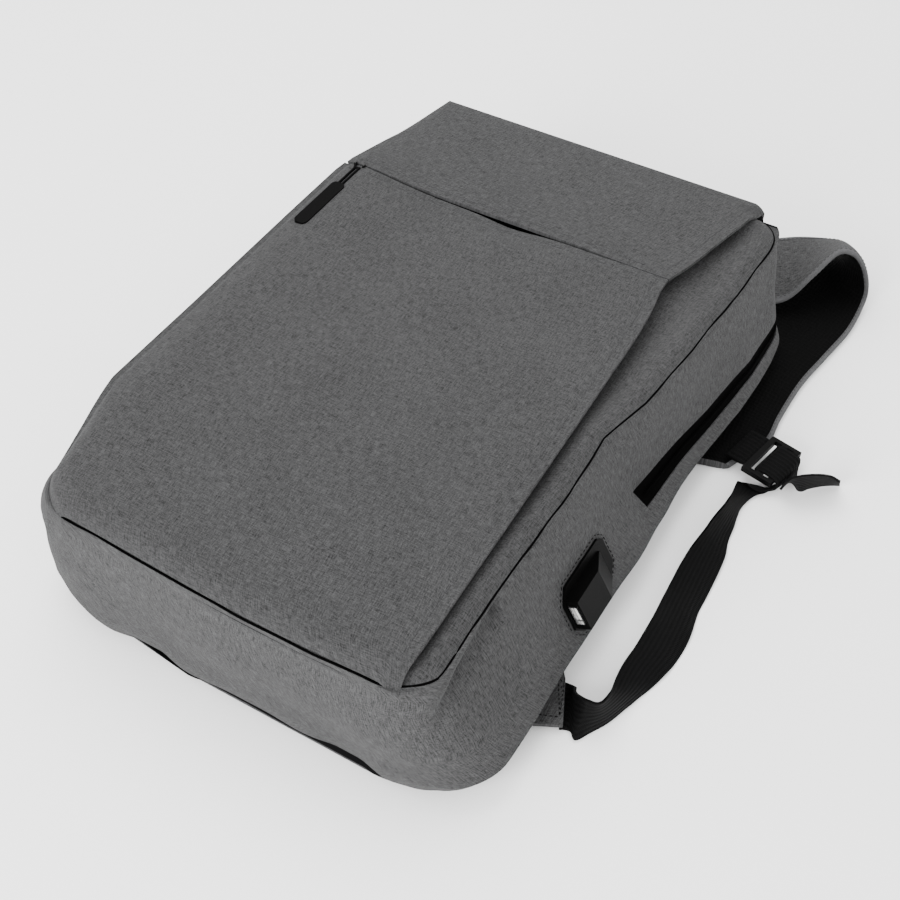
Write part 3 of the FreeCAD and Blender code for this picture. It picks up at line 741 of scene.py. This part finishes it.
def slit_open(x):
    """How far the slit gapes, from 0 to 1: widest left of the middle, nearly shut on the right."""
    even = np.sin(math.pi * np.clip((x + 138) / 205, 0, 1)) ** 0.7
    return 0.5 * even + 0.5 * hump(x, -14, 20)


def slit_lip(x):
    """y of the cover's edge at the slit."""
    return 117.3 - 3.6 * slit_open(x) + 0.5 * ease((-x - 136) / 5)


def build_under_panel():
    def height(x, y):
        depth = inside_distance(x, y)
        swell = ease(depth / 9) * (1 - ease((depth - 9) / 26))
        crumple = flat_ripple(x, y, 40, 14.0) * 0.7 * ease(depth / 12)
        under = ease((wing_x(y) - 6 - x) / 12)
        return SEAM_Z - 0.2 - 1.3 * ease(depth / 26) + (5.0 * swell + crumple) * (1 - under) - 3.6 * under

    ys = FRONT_LOW_Y + (FRONT_TOP_Y - FRONT_LOW_Y) * spread(150, 0.6, 0.6)
    grid = front_grid(ys, seam_x(ys, -1), seam_x(ys, 1), 110, height, (0.6, 0.75))
    panel = cloth("front_panel", grid, [FRONT, LINING], 2)
    attach(panel, "fold", "front_fabric", "front_wall_lower", "front_wall_upper")


def build_cover():
    steps = spread(170, 0.5, 0.0)

    def height(x, y):
        depth = inside_distance(x, y)
        lip = ease(1 - (slit_lip(x) - y) / 16) * slit_open(x)
        tucked = (1 - ease(depth / 4)) * ease((-150 - y) / 50)
        return cover_height(x, y, depth) - 1.6 * lip - 1.4 * tucked

    low_y = FRONT_LOW_Y + 0.8
    left_y = low_y + (116.0 - low_y) * steps
    x_left = seam_x(left_y, -1) - 4.0 * left_bulge(seam_x(left_y, -1), left_y)
    grid = front_grid(left_y, x_left, wing_x(left_y), 150, height, (0.7, 0.15))
    share = ease((grid[:, :, 1] - 60) / 56)
    shift = slit_lip(grid[-1, :, 0]) - 116.0
    grid[:, :, 1] += shift[None, :] * share
    cover = cloth("front_cover", grid, [FRONT, LINING], 2.2)
    attach(cover, "fold", "front_fabric", "front_cover_lower", "front_cover_upper")
    return grid


def build_yoke():
    top_y = 222.0

    def height(x, y):
        depth = np.minimum(x - left_edge(y) + 4, top_y + 4 - y)
        corner = wing_x(y) - x - 3 + 40 * ease((216 - y) / 34)
        z = cover_height(x, y, np.clip(np.minimum(depth, corner), -4, 200), 4.0)
        return z + 0.9 * ease((128 - y) / 12) * slit_open(x)

    def left_edge(y):
        return np.interp(y, (117, 123, 166, 199, 222), (-145.5, -145, -134, -128.5, -124.5))

    ys = 117.9 + (top_y - 117.9) * spread(70, 0.2, 0.6)
    grid = front_grid(ys, left_edge(ys), wing_x(ys), 150, height, (0.7, 0.15), False)
    last = grid[-1:]
    grid = np.concatenate((grid, last + (0, 0.7, -2.2), last + (0, 0.4, -5.5), last + (0, -1.6, -9.0)))
    yoke = cloth("yoke", grid, [FRONT, LINING], 2.4)
    attach(yoke, "front_upper", "front_fabric", "front_yoke")
    return grid[:-3]


def hem(name, line, body):
    """A row of stitches along a hem."""
    attach(stitches(name, [line], [(0, 0, 1)], THREAD), body, "front_fabric")


# ---- straps and webbing: the CAD's stations, (edge point, edge point) in mm ----
ROOT_Z = 12.5
PAD_RIGHT = [
    ((54, 224, ROOT_Z), (114, 224, ROOT_Z)), ((78, 268, 21), (127, 228, 17)), ((120, 301, 25), (146, 243, 19)),
    ((141, 318, 22), (157, 259, 34)), ((155, 328, 18), (167, 274, 49)), ((160, 331, 13), (178, 279, 49)),
    ((156, 331, 6.5), (187, 282, 38)), ((146, 322, 4), (193, 284, 20)), ((134, 302, 4), (194, 279, 7)),
    ((129, 262, 4), (194, 251, 4)), ((124, 221, 4), (189, 216, 4)), ((119, 188, 4), (184, 182, 4)),
    ((119, 150, 4), (183, 145, 4)), ((120, 118, 4), (184, 120, 4)), ((124, 92, 4), (177, 103, 4)),
    ((140, 76, 4), (170, 84, 4))]
PAD_LEFT = [
    ((-54, 224, ROOT_Z), (-114, 224, ROOT_Z)), ((-64, 256, 18), (-122, 233, 18)), ((-84, 282, 20), (-138, 249, 20)),
    ((-89, 290, 18), (-152, 271, 18)), ((-90, 296, 11), (-154, 278, 11)), ((-89, 290, 4.2), (-152, 271, 4.2)),
    ((-98, 246, 4), (-162, 249, 4)), ((-114, 205, 4), (-178, 208, 4)), ((-118, 160, 4), (-182, 160, 4)),
    ((-118, 118, 4), (-182, 118, 4)), ((-122, 92, 4), (-176, 100, 4)), ((-138, 74, 4), (-168, 82, 4))]
WEB_RIGHT = [
    ((150, -117.5, 2.6), (163.5, -146.5, 2.6)), ((156, -118, 4), (168, -145, 3)),
    ((164, -131, 17), (174, -149, 2)), ((174, -140, 30), (179, -143, 2)), ((182, -137, 29), (186, -130, 2)),
    ((183, -122, 23), (195, -105, 2)), ((179, -101, 15), (200, -84, 2)),
    ((180, -78, 15), (203, -65, 2)), ((180, -48, 17), (200, -32, 2)), ((177, -6, 12), (197, 13, 3)),
    ((182, 20, 18), (192, 40, 2)), ((184, 46, 19), (192, 66, 2)), ((180, 72, 8), (198, 76, 3))]
WEB_LEFT = [
    ((-153.5, -117, 3), (-167, -144, 3)), ((-158, -100, 8), (-176, -122, 3)), ((-154, -76, 12), (-178, -92, 3)),
    ((-152, -40, 3), (-180, -46, 3)), ((-152, 0, 3), (-182, -2, 3)), ((-158, 36, 6), (-186, 32, 3)),
    ((-161, 66, 4), (-191, 68, 3))]
TAIL_RIGHT = [
    ((208.5, 108, 9), (205, 80, 8)), ((212, 98, 3), (209, 77, 21)), ((216, 92, 2), (214, 79, 27)),
    ((220, 97, 2), (221, 84, 28)), ((226, 104, 2), (232, 91, 26)), ((237, 110, 2), (239, 92, 24))]
TAIL_LEFT = [
    ((-168, 129, 10), (-196, 123, 10)), ((-166, 142, 10), (-194, 143, 10)), ((-164, 172, 10), (-192, 174, 10))]
LOCK_RIGHT, LOCK_LEFT = ((193, 97, 8.2), -12.0, 13.0), ((-177, 106, 8.2), 78.0, 14.0)
# the webbing's way through the locks
THROUGH_RIGHT = [
    ((180, 72, 8), (198, 76, 3)), ((194, 73, 4), (205, 86, 3)), ((203, 78, 5), (210, 101, 5)),
    ((205, 80, 10), (210, 108, 10)), ((200, 81, 13.4), (206, 109, 13.4)), ((192, 83, 13.6), (198, 111, 13.6)),
    ((186, 84, 12.6), (192, 112, 12.6))]
THROUGH_LEFT = [
    ((-161, 66, 4), (-191, 68, 3)), ((-163, 84, 5), (-192, 80, 5)), ((-162, 96, 12.8), (-191, 90, 12.8)),
    ((-165, 106, 13.6), (-193, 101, 13.6)), ((-167, 116, 13.0), (-195, 111, 13.0)),
    ((-168, 126, 11), (-196, 121, 11))]


def band_rings(stations, per_span=8):
    """Edge points along a band, and its unit normals."""
    rings = smooth_path(stations, per_span)
    run = np.gradient(rings.mean(1), axis=0)
    return rings, unit(np.cross(run, rings[:, 1] - rings[:, 0]))


def pad_half(w):
    """Half the thickness of a strap pad across its width, in mm: thin at the bound edges."""
    return 0.8 + 2.6 * (1 - np.abs(2 * w - 1) ** 4)


def build_pad(name, stations, lining_side, body, nodes):
    """Shoulder strap: grey cloth on one face, black mesh on the other, bound along its edges."""
    rings, normal = band_rings(stations)
    normal = normal * lining_side
    w = 0.5 - 0.5 * np.cos(np.linspace(0, math.pi, 19))
    edge, across = rings[:, :1], rings[:, 1:] - rings[:, :1]
    middle = edge + across * w[None, :, None]
    dent = ripple(middle, 30, 17.0) * 0.35
    half = (pad_half(w) + dent * (1 - np.abs(2 * w - 1) ** 4))[..., None]
    outer, inner = middle - normal[:, None] * half, middle + normal[:, None] * half
    ring = np.concatenate((outer, inner[:, ::-1]), axis=1)
    ring[..., 2] = np.maximum(ring[..., 2], 0.6)
    rows, columns = ring.shape[:2]
    indices = [int(j >= len(w) - 1) for i in range(rows - 1) for j in range(columns)] + [0, 0]
    wide = np.linalg.norm(across, axis=2)
    u = np.concatenate((w, w[::-1]))[None, :] * wide
    step = np.linalg.norm(np.diff(rings.mean(1), axis=0), axis=1)
    v = np.repeat(np.concatenate(([0], np.cumsum(step)))[:, None], columns, 1)
    uv = np.stack((u, v), -1).reshape(-1, 2) * MM
    points = ring.reshape(-1, 3) * MM
    pad = finish_mesh(name, points, ring_faces(rows, columns), [SIDE, MESH], indices, uv, 60)
    attach(pad, body, "side_fabric", *nodes)
    build_binding(name, rings, normal, body)


def build_binding(name, rings, normal, body):
    """Folded tape along both edges of a strap pad, with a row of stitches on each of its faces."""
    profile = ((4.0, -1), (2.0, -1), (0.4, -1), (-0.4, -0.4), (-0.4, 0.4), (0.4, 1), (1.6, 1), (2.6, 1))
    paths, ups = [], []
    for end in (0, 1):
        edge, other = rings[:, end], rings[:, 1 - end]
        wide = np.linalg.norm(other - edge, axis=1, keepdims=True)
        inward = unit(other - edge)
        grid = []
        for along, lift in profile:
            w = np.clip(along / wide, 0, 1)
            grid.append(edge + inward * along + normal * lift * (pad_half(w) + 0.35))
        grid = np.stack(grid, axis=1)
        grid[..., 2] = np.maximum(grid[..., 2], 0.3)
        binding = cloth(f"{name}_binding_{end}", grid, [BINDING], 0.5, flip=end == 0)
        attach(binding, body, "side_fabric")
        for lift in (-1, 1):
            inset = 3.1 if lift < 0 else 1.9
            path = edge + inward * inset + normal * lift * (pad_half(inset / wide) + 0.45)
            path[:, 2] = np.maximum(path[:, 2], 0.4)
            paths.append(path[4:])
            ups.append(normal[4:] * lift)
    row = stitches(name + "_stitches", paths, ups, THREAD)
    attach(row, body, "side_fabric")


def build_webbing(name, stations, body, nodes, thick=1.6, seed=1.0, crease=0.9):
    rings, normal = band_rings(stations)
    w = np.linspace(0, 1, 9)
    middle = rings[:, :1] + (rings[:, 1:] - rings[:, :1]) * w[None, :, None]
    edge = np.abs(2 * w - 1)[None, :] ** 2
    offset = thick / 2 + ripple(middle, 16, seed) * crease * (0.25 + edge)
    grid = middle + normal[:, None] * offset[..., None]
    grid[..., 2] = np.maximum(grid[..., 2], 1.0)
    band = cloth(name, grid, [WEBBING], thick)
    attach(band, body, "webbing")
    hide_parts(*nodes)


def build_lock_loop(side, lock):
    """Webbing folded round the lock's first bar and sewn to the end of the pad."""
    (x, y, z), turn, reach = lock
    a = math.radians(turn)
    along, across = np.array((math.cos(a), math.sin(a), 0)), np.array((-math.sin(a), math.cos(a), 0))
    start, end = -12.0 - reach, -12.0
    profile = [(start, 1.2), (start + 4, 0.9), (end - 5, 0.9), (end - 1.5, 1.4), (end + 0.6, 2.2), (end - 1.5, 3.0),
               (end - 5, 3.3), (start + 4, 3.1), (start, 2.8)]
    path = smooth_path(profile, 4)
    w = np.linspace(-15, 15, 9)
    grid = np.array((x, y, z)) + path[:, None, :1] * along + w[None, :, None] * across
    grid[..., 2] = z + path[:, None, 1]
    loop = cloth("lock_loop_web_" + side, grid, [WEBBING], 0.8)
    attach(loop, "strap_" + side, "webbing", "lock_loop_" + side)
    base = np.array((x, y, z + 3.5))
    corners = [base + along * s + across * t for s, t in ((start + 2, -12), (start + 2, 12), (start + 9, 12),
                                                          (start + 9, -12), (start + 2, -12))]
    row = stitches("lock_loop_stitches_" + side, [corners], [(0, 0, 1)], BLACK_THREAD)
    attach(row, "strap_" + side, "webbing")


def bilinear(corners, rows, columns):
    """Grid between four corners: low left, low right, high left, high right."""
    a, b, c, d = (np.array(p, float) for p in corners)
    s = np.linspace(0, 1, columns)[None, :, None]
    t = np.linspace(0, 1, rows)[:, None, None]
    return (a * (1 - s) + b * s) * (1 - t) + (c * (1 - s) + d * s) * t


def build_corner_tab(side, sign):
    """Folded cloth tab at the low corner that holds the webbing, with cross stitching."""
    grid = bilinear(((136 * sign, -162, 7.6), (165.5 * sign, -146, 5.6), (146 * sign, -110, 7.6),
                     (152.8 * sign, -118, 5.6)), 14, 14)
    middle = grid.mean((0, 1))
    puff = 0.6 * np.exp(-((grid - middle) ** 2).sum(-1) / 150)
    grid[..., 2] += 0.8 + puff
    tab = cloth("corner_tab_cloth_" + side, grid, [SIDE], 3.0, flip=sign < 0)
    attach(tab, "bag", "side_fabric", "corner_tab_" + side)
    low, high = grid[2, -2] + (0, 0, 0.3), grid[-3, -2] + (0, 0, 0.3)
    low_in, high_in = grid[2, 6] + (0, 0, 0.3), grid[-3, 6] + (0, 0, 0.3)
    paths = [(low, high), (high, high_in), (high_in, low_in), (low_in, low), (low, high_in), (high, low_in)]
    row = stitches("corner_tab_stitches_" + side, paths, [(0, 0, 1)] * 6, BLACK_THREAD, 3.0, 2.1)
    attach(row, "bag", "side_fabric")


def build_straps():
    for side, pad, web, tail, through, lock, sign in (
            ("right", PAD_RIGHT, WEB_RIGHT, TAIL_RIGHT, THROUGH_RIGHT, LOCK_RIGHT, 1),
            ("left", PAD_LEFT, WEB_LEFT, TAIL_LEFT, THROUGH_LEFT, LOCK_LEFT, -1)):
        body = "strap_" + side
        build_pad("shoulder_pad_" + side, pad, sign, body, ["strap_pad_" + side, "strap_lining_" + side])
        build_webbing("webbing_" + side, web, body, ["strap_webbing_" + side], seed=3.0 + sign)
        build_webbing("tail_" + side, tail, "ladder_lock_" + side, ["strap_tail_" + side], seed=9.0, crease=0.5)
        build_webbing("web_through_" + side, through, "ladder_lock_" + side, [], seed=5.0, crease=0.5)
        build_lock_loop(side, lock)
        build_corner_tab(side, sign)


# ---- back, handle and inside ----


def build_back():
    line = WALL[0, :, :2]
    ys = np.linspace(line[:, 1].min(), line[:, 1].max(), 90)
    left, right = (half_outline(line, side) for side in (-1, 1))
    x_left, x_right = (np.interp(ys, half[:, 1], half[:, 0])[:, None] for half in (left, right))
    x = x_left + (x_right - x_left) * np.linspace(0, 1, 60)
    y = np.repeat(ys[:, None], 60, 1)
    grid = np.stack((x, y, 8.2 + 0.25 * flat_ripple(x, y, 40, 30.0) - low_drop(x, y)), -1)
    back = cloth("back_cloth", grid, [SIDE, LINING], 1.8, flip=True)
    attach(back, "bag", "side_fabric", "back_panel")


def active(obj):
    for other in bpy.context.selected_objects:
        other.select_set(False)
    bpy.context.view_layer.objects.active = obj
    obj.select_set(True)


VOXEL, SOFT_RIM, MOST_SHIFT = 5 * MM, 12 * MM, 2 * MM
PRESSURE, STEPS = 4.0, 20


def cushion(node):
    """Back pad blown up from the CAD pad by cloth simulation, flat where the bag rests on it."""
    source = nodes[node]
    mesh = source.data.copy()
    mesh.transform(source.matrix_world)
    mesh.materials.clear()
    pad = bpy.data.objects.new(node + "_cushion", mesh)
    bpy.context.scene.collection.objects.link(pad)
    active(pad)
    remesh = pad.modifiers.new("remesh", "REMESH")
    remesh.mode = "VOXEL"
    remesh.voxel_size = VOXEL
    bpy.ops.object.modifier_apply(modifier=remesh.name)
    rest = moved = vertex_points(pad.data)
    sim = pad.modifiers.new("cloth", "CLOTH")
    sim.settings.use_pressure = True
    sim.settings.uniform_pressure_force = PRESSURE
    sim.settings.effector_weights.gravity = 0.0
    sim.point_cache.frame_start, sim.point_cache.frame_end = 1, STEPS
    for step in range(1, STEPS + 1):
        bpy.context.scene.frame_set(step)
    bpy.ops.object.modifier_apply(modifier=sim.name)
    bpy.context.scene.frame_set(1)
    moved = vertex_points(pad.data)
    low, high = rest.min(0), rest.max(0)
    gap = np.minimum(rest - low, high - rest)[:, :2].min(1)
    rounded = 1 - ease(gap / SOFT_RIM)
    points = rest + np.clip(moved - rest, -MOST_SHIFT, MOST_SHIFT)
    middle = (low[2] + high[2]) / 2
    points[:, 2] = middle + (points[:, 2] - middle) * (1 - 0.55 * rounded)
    points[:, 2] = np.clip(points[:, 2], 0.0, high[2] + 0.0005)
    pad.data.vertices.foreach_set("co", points.reshape(-1))
    set_uv(pad.data, vertex_points(pad.data)[:, :2])
    pad.data.materials.append(MESH)
    pad.data.polygons.foreach_set("use_smooth", [True] * len(pad.data.polygons))
    smooth = pad.modifiers.new("smooth", "SUBSURF")
    smooth.levels = smooth.render_levels = 1
    active(pad)
    bpy.ops.object.modifier_apply(modifier=smooth.name)
    attach(pad, "bag", "mesh", node)


def build_handle():
    line = smooth_path([(-38, 224, 7.8), (-38, 238, 7.8), (-34, 248, 7.8), (-23, 253, 7.8), (0, 254, 7.8),
                        (23, 253, 7.8), (34, 248, 7.8), (38, 238, 7.8), (38, 224, 7.8)], 8)
    handle = tube("handle_web", line, 7.0, WEBBING, sides=16, flat=0.27)
    attach(handle, "grab_handle", "webbing", "grab_handle")


def swept(name, profile, y0, y1, materials, thick, body, slot, replaced=(), rows=24, wave=0.5):
    """A sheet whose (x, z) profile runs along y, with faint waves. Sizes in mm."""
    path = smooth_path(profile, 5)
    grid = np.zeros((rows, len(path), 3))
    grid[..., 0], grid[..., 2] = path.T[:, None]
    grid[..., 1] = np.linspace(y0, y1, rows)[:, None]
    grid += grid_normals(grid) * (ripple(grid, 45, 8.0) * wave)[..., None]
    made = cloth(name, grid, materials, thick)
    attach(made, body, slot)
    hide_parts(*replaced)


def build_inside():
    swept("sleeve_cloth", ((-122, 10.2), (-122, 25), (-121.6, 38), (-118, 39.8), (-60, 40), (0, 40), (60, 40),
                           (118, 39.8), (121.6, 38), (122, 25), (122, 10.2)), -200, 118, [LINING], 1.6, "bag",
          "lining_fabric", ["laptop_sleeve"], 40, wave=0.6)
    swept("sleeve_end", ((-121, 10.4), (121, 10.4)), -200.2, -199.8, [LINING], 1.0, "bag", "lining_fabric", (), 2,
          wave=0.0)
    swept("bank_pocket_cloth", ((120, 55), (110, 55), (99, 55.5), (97, 58), (97, 73), (97, 88), (99, 90.5),
                                (106, 91), (111, 91)), -151, -32, [LINING], 1.2, "bag", "lining_fabric",
          ["power_bank_pocket"], 20, wave=0.5)
    fold_line = smooth_path(((122.9, 13), (122.9, 30), (122.4, 42), (119, 44.8), (105, 44.8), (88, 44.8)), 6)
    grid = np.zeros((len(fold_line), 7, 3))
    grid[..., 0] = np.linspace(-15, 15, 7)
    grid[..., 1:] = fold_line[:, None]
    strap = cloth("sleeve_tab", grid, [WEBBING], 1.6)
    attach(strap, "sleeve_strap", "webbing", "sleeve_strap")
    for side, x0, x1 in (("left", -114, -54), ("right", 54, 114)):
        root = bilinear(((x0, 201, 11.4), (x1, 201, 11.4), (x0, 216, 11.4), (x1, 216, 11.4)), 6, 14)
        patch = cloth("root_patch_" + side, root, [WEBBING], 1.3)
        attach(patch, "bag", "webbing", "strap_root_" + side)


def build_pocket():
    """Gusset along the pocket's right side, and the two tapes and coils under the slit."""
    run = WING[(WING[:, 1] > -212) & (WING[:, 1] < 112)]
    grid = np.zeros((len(run), 5, 3))
    grid[..., 0] = run[:, :1] - 16 + (0, 1.4, 2.0, 1.4, 0)
    grid[..., 1] = run[:, 1:]
    grid[..., 2] = np.linspace(94.5, 104.2, 5)
    gusset = cloth("pocket_side", grid, [LINING], 1.2)
    attach(gusset, "fold", "lining_fabric", "pocket_gusset_lower", "pocket_gusset_upper")
    halves = (("low", (103.0, 104.2), (112.4, 104.0), 112.6, 78), ("high", (119.0, 104.0), (127.5, 104.2), 119.4, 84))
    for name, low, high, _, end in halves:
        corners = ((-136, *low), (end, *low), (-136, *high), (end, *high))
        tape = cloth("pocket_tape_" + name, bilinear(corners, 5, 60), [TAPE_AND_SEAM_SHADE], 0.7)
        attach(tape, "front_upper", "zip_tape", *(["pocket_zip_tapes"] * (name == "low")))
    for name, _, _, y, end in halves:
        xs = np.arange(-121, end, 1.0)
        path = np.column_stack((xs, np.full(len(xs), y), 103.2 + 0.25 * np.sin(xs * math.pi)))
        coil = tube("pocket_coil_" + name, path, 0.8, TAPE_AND_SEAM_SHADE, sides=6)
        attach(coil, "front_upper", "zip_coil", "pocket_zip_coils")


def edge_row(grid, inset, side):
    """Points on a front grid at a distance in from its right edge (side 1) or its last row (side 0)."""
    out = []
    for line in grid if side else np.swapaxes(grid, 0, 1):
        axis = 0 if side else 1
        at = line[-1 if inset > 0 else 0, axis] - inset
        out.append([np.interp(at, line[:, axis], line[:, c]) for c in range(3)])
    return np.array(out) + (0, 0, 0.12)


def build_hems(cover, yoke):
    hem("wing_hem", edge_row(cover, 7.0, 1)[3:], "fold")
    hem("slit_hem", edge_row(cover, 5.5, 0)[8:-8], "front_upper")
    hem("yoke_side_hem", edge_row(yoke, 7.0, 1)[3:-3], "front_upper")
    hem("yoke_low_hem", edge_row(yoke, -5.5, 0)[8:-8], "front_upper")


# ---- hard parts: the CAD pieces, with softened edges and their finishes ----


def finish_part(node, material, width, segments):
    obj = nodes[node]
    obj.data.materials.clear()
    obj.data.materials.append(material)
    if width:
        bevel = obj.modifiers.new("soft edges", "BEVEL")
        bevel.width = width * MM
        bevel.segments = segments
        bevel.limit_method = "ANGLE"
        bevel.angle_limit = math.radians(40)


def build_port_stitches():
    lean = math.radians(29.9)
    place = np.array((143.4, PORT_Y, PORT_Z))
    out = np.array((math.cos(lean), 0, math.sin(lean)))
    up = np.array((-math.sin(lean), 0, math.cos(lean)))
    corners = ((-28.5, -11), (-21, -18.5), (13, -18.5), (28.5, -5), (28.5, 14), (23, 18.5), (-19, 18.5), (-28.5, 9))
    path = []
    for (y0, z0), (y1, z1) in zip(corners, corners[1:] + corners[:1]):
        for t in np.linspace(0, 1, 8)[:-1]:
            y, z = y0 + (y1 - y0) * t, z0 + (z1 - z0) * t
            path.append(place + out * 0.9 + (0, y, 0) + up * z)
    path.append(path[0])
    row = stitches("port_stitches", [path], [out], BLACK_THREAD)
    attach(row, "bag", "side_fabric")


def finish_parts():
    """Material, edge radius in mm and its segments."""
    for material, width, segments, names in (
            (PLASTIC, 0.9, 3, ["usb_housing"]),
            (PLASTIC, 0.5, 2, ["usb_backing", "usb_gland", "ladder_lock_right", "ladder_lock_left"]),
            (STEEL, 0.12, 2, ["usb_socket_shell"]),
            (IVORY, 0.15, 2, ["usb_tongue"]),
            (GOLD, 0.05, 2, ["usb_contacts"]),
            (ENAMEL, 0.3, 2, ["pocket_slider", "main_slider_a", "main_slider_b", "main_pull_a", "main_pull_b"]),
            (RUBBER, 0.9, 3, ["pocket_pull_grip"]),
            (RUBBER, 0.0, 0, ["pocket_pull_cord"])):
        for node in names:
            finish_part(node, material, width, segments)


add_camera()
add_studio()
build_walls()
build_zip_line()
build_seam()
build_under_panel()
cover_grid = build_cover()
yoke_grid = build_yoke()
build_hems(cover_grid, yoke_grid)
build_straps()
build_back()
for pad_node in ("back_pad_left", "back_pad_right", "back_pad_center"):
    cushion(pad_node)
build_handle()
build_inside()
build_pocket()
build_port_stitches()
finish_parts()
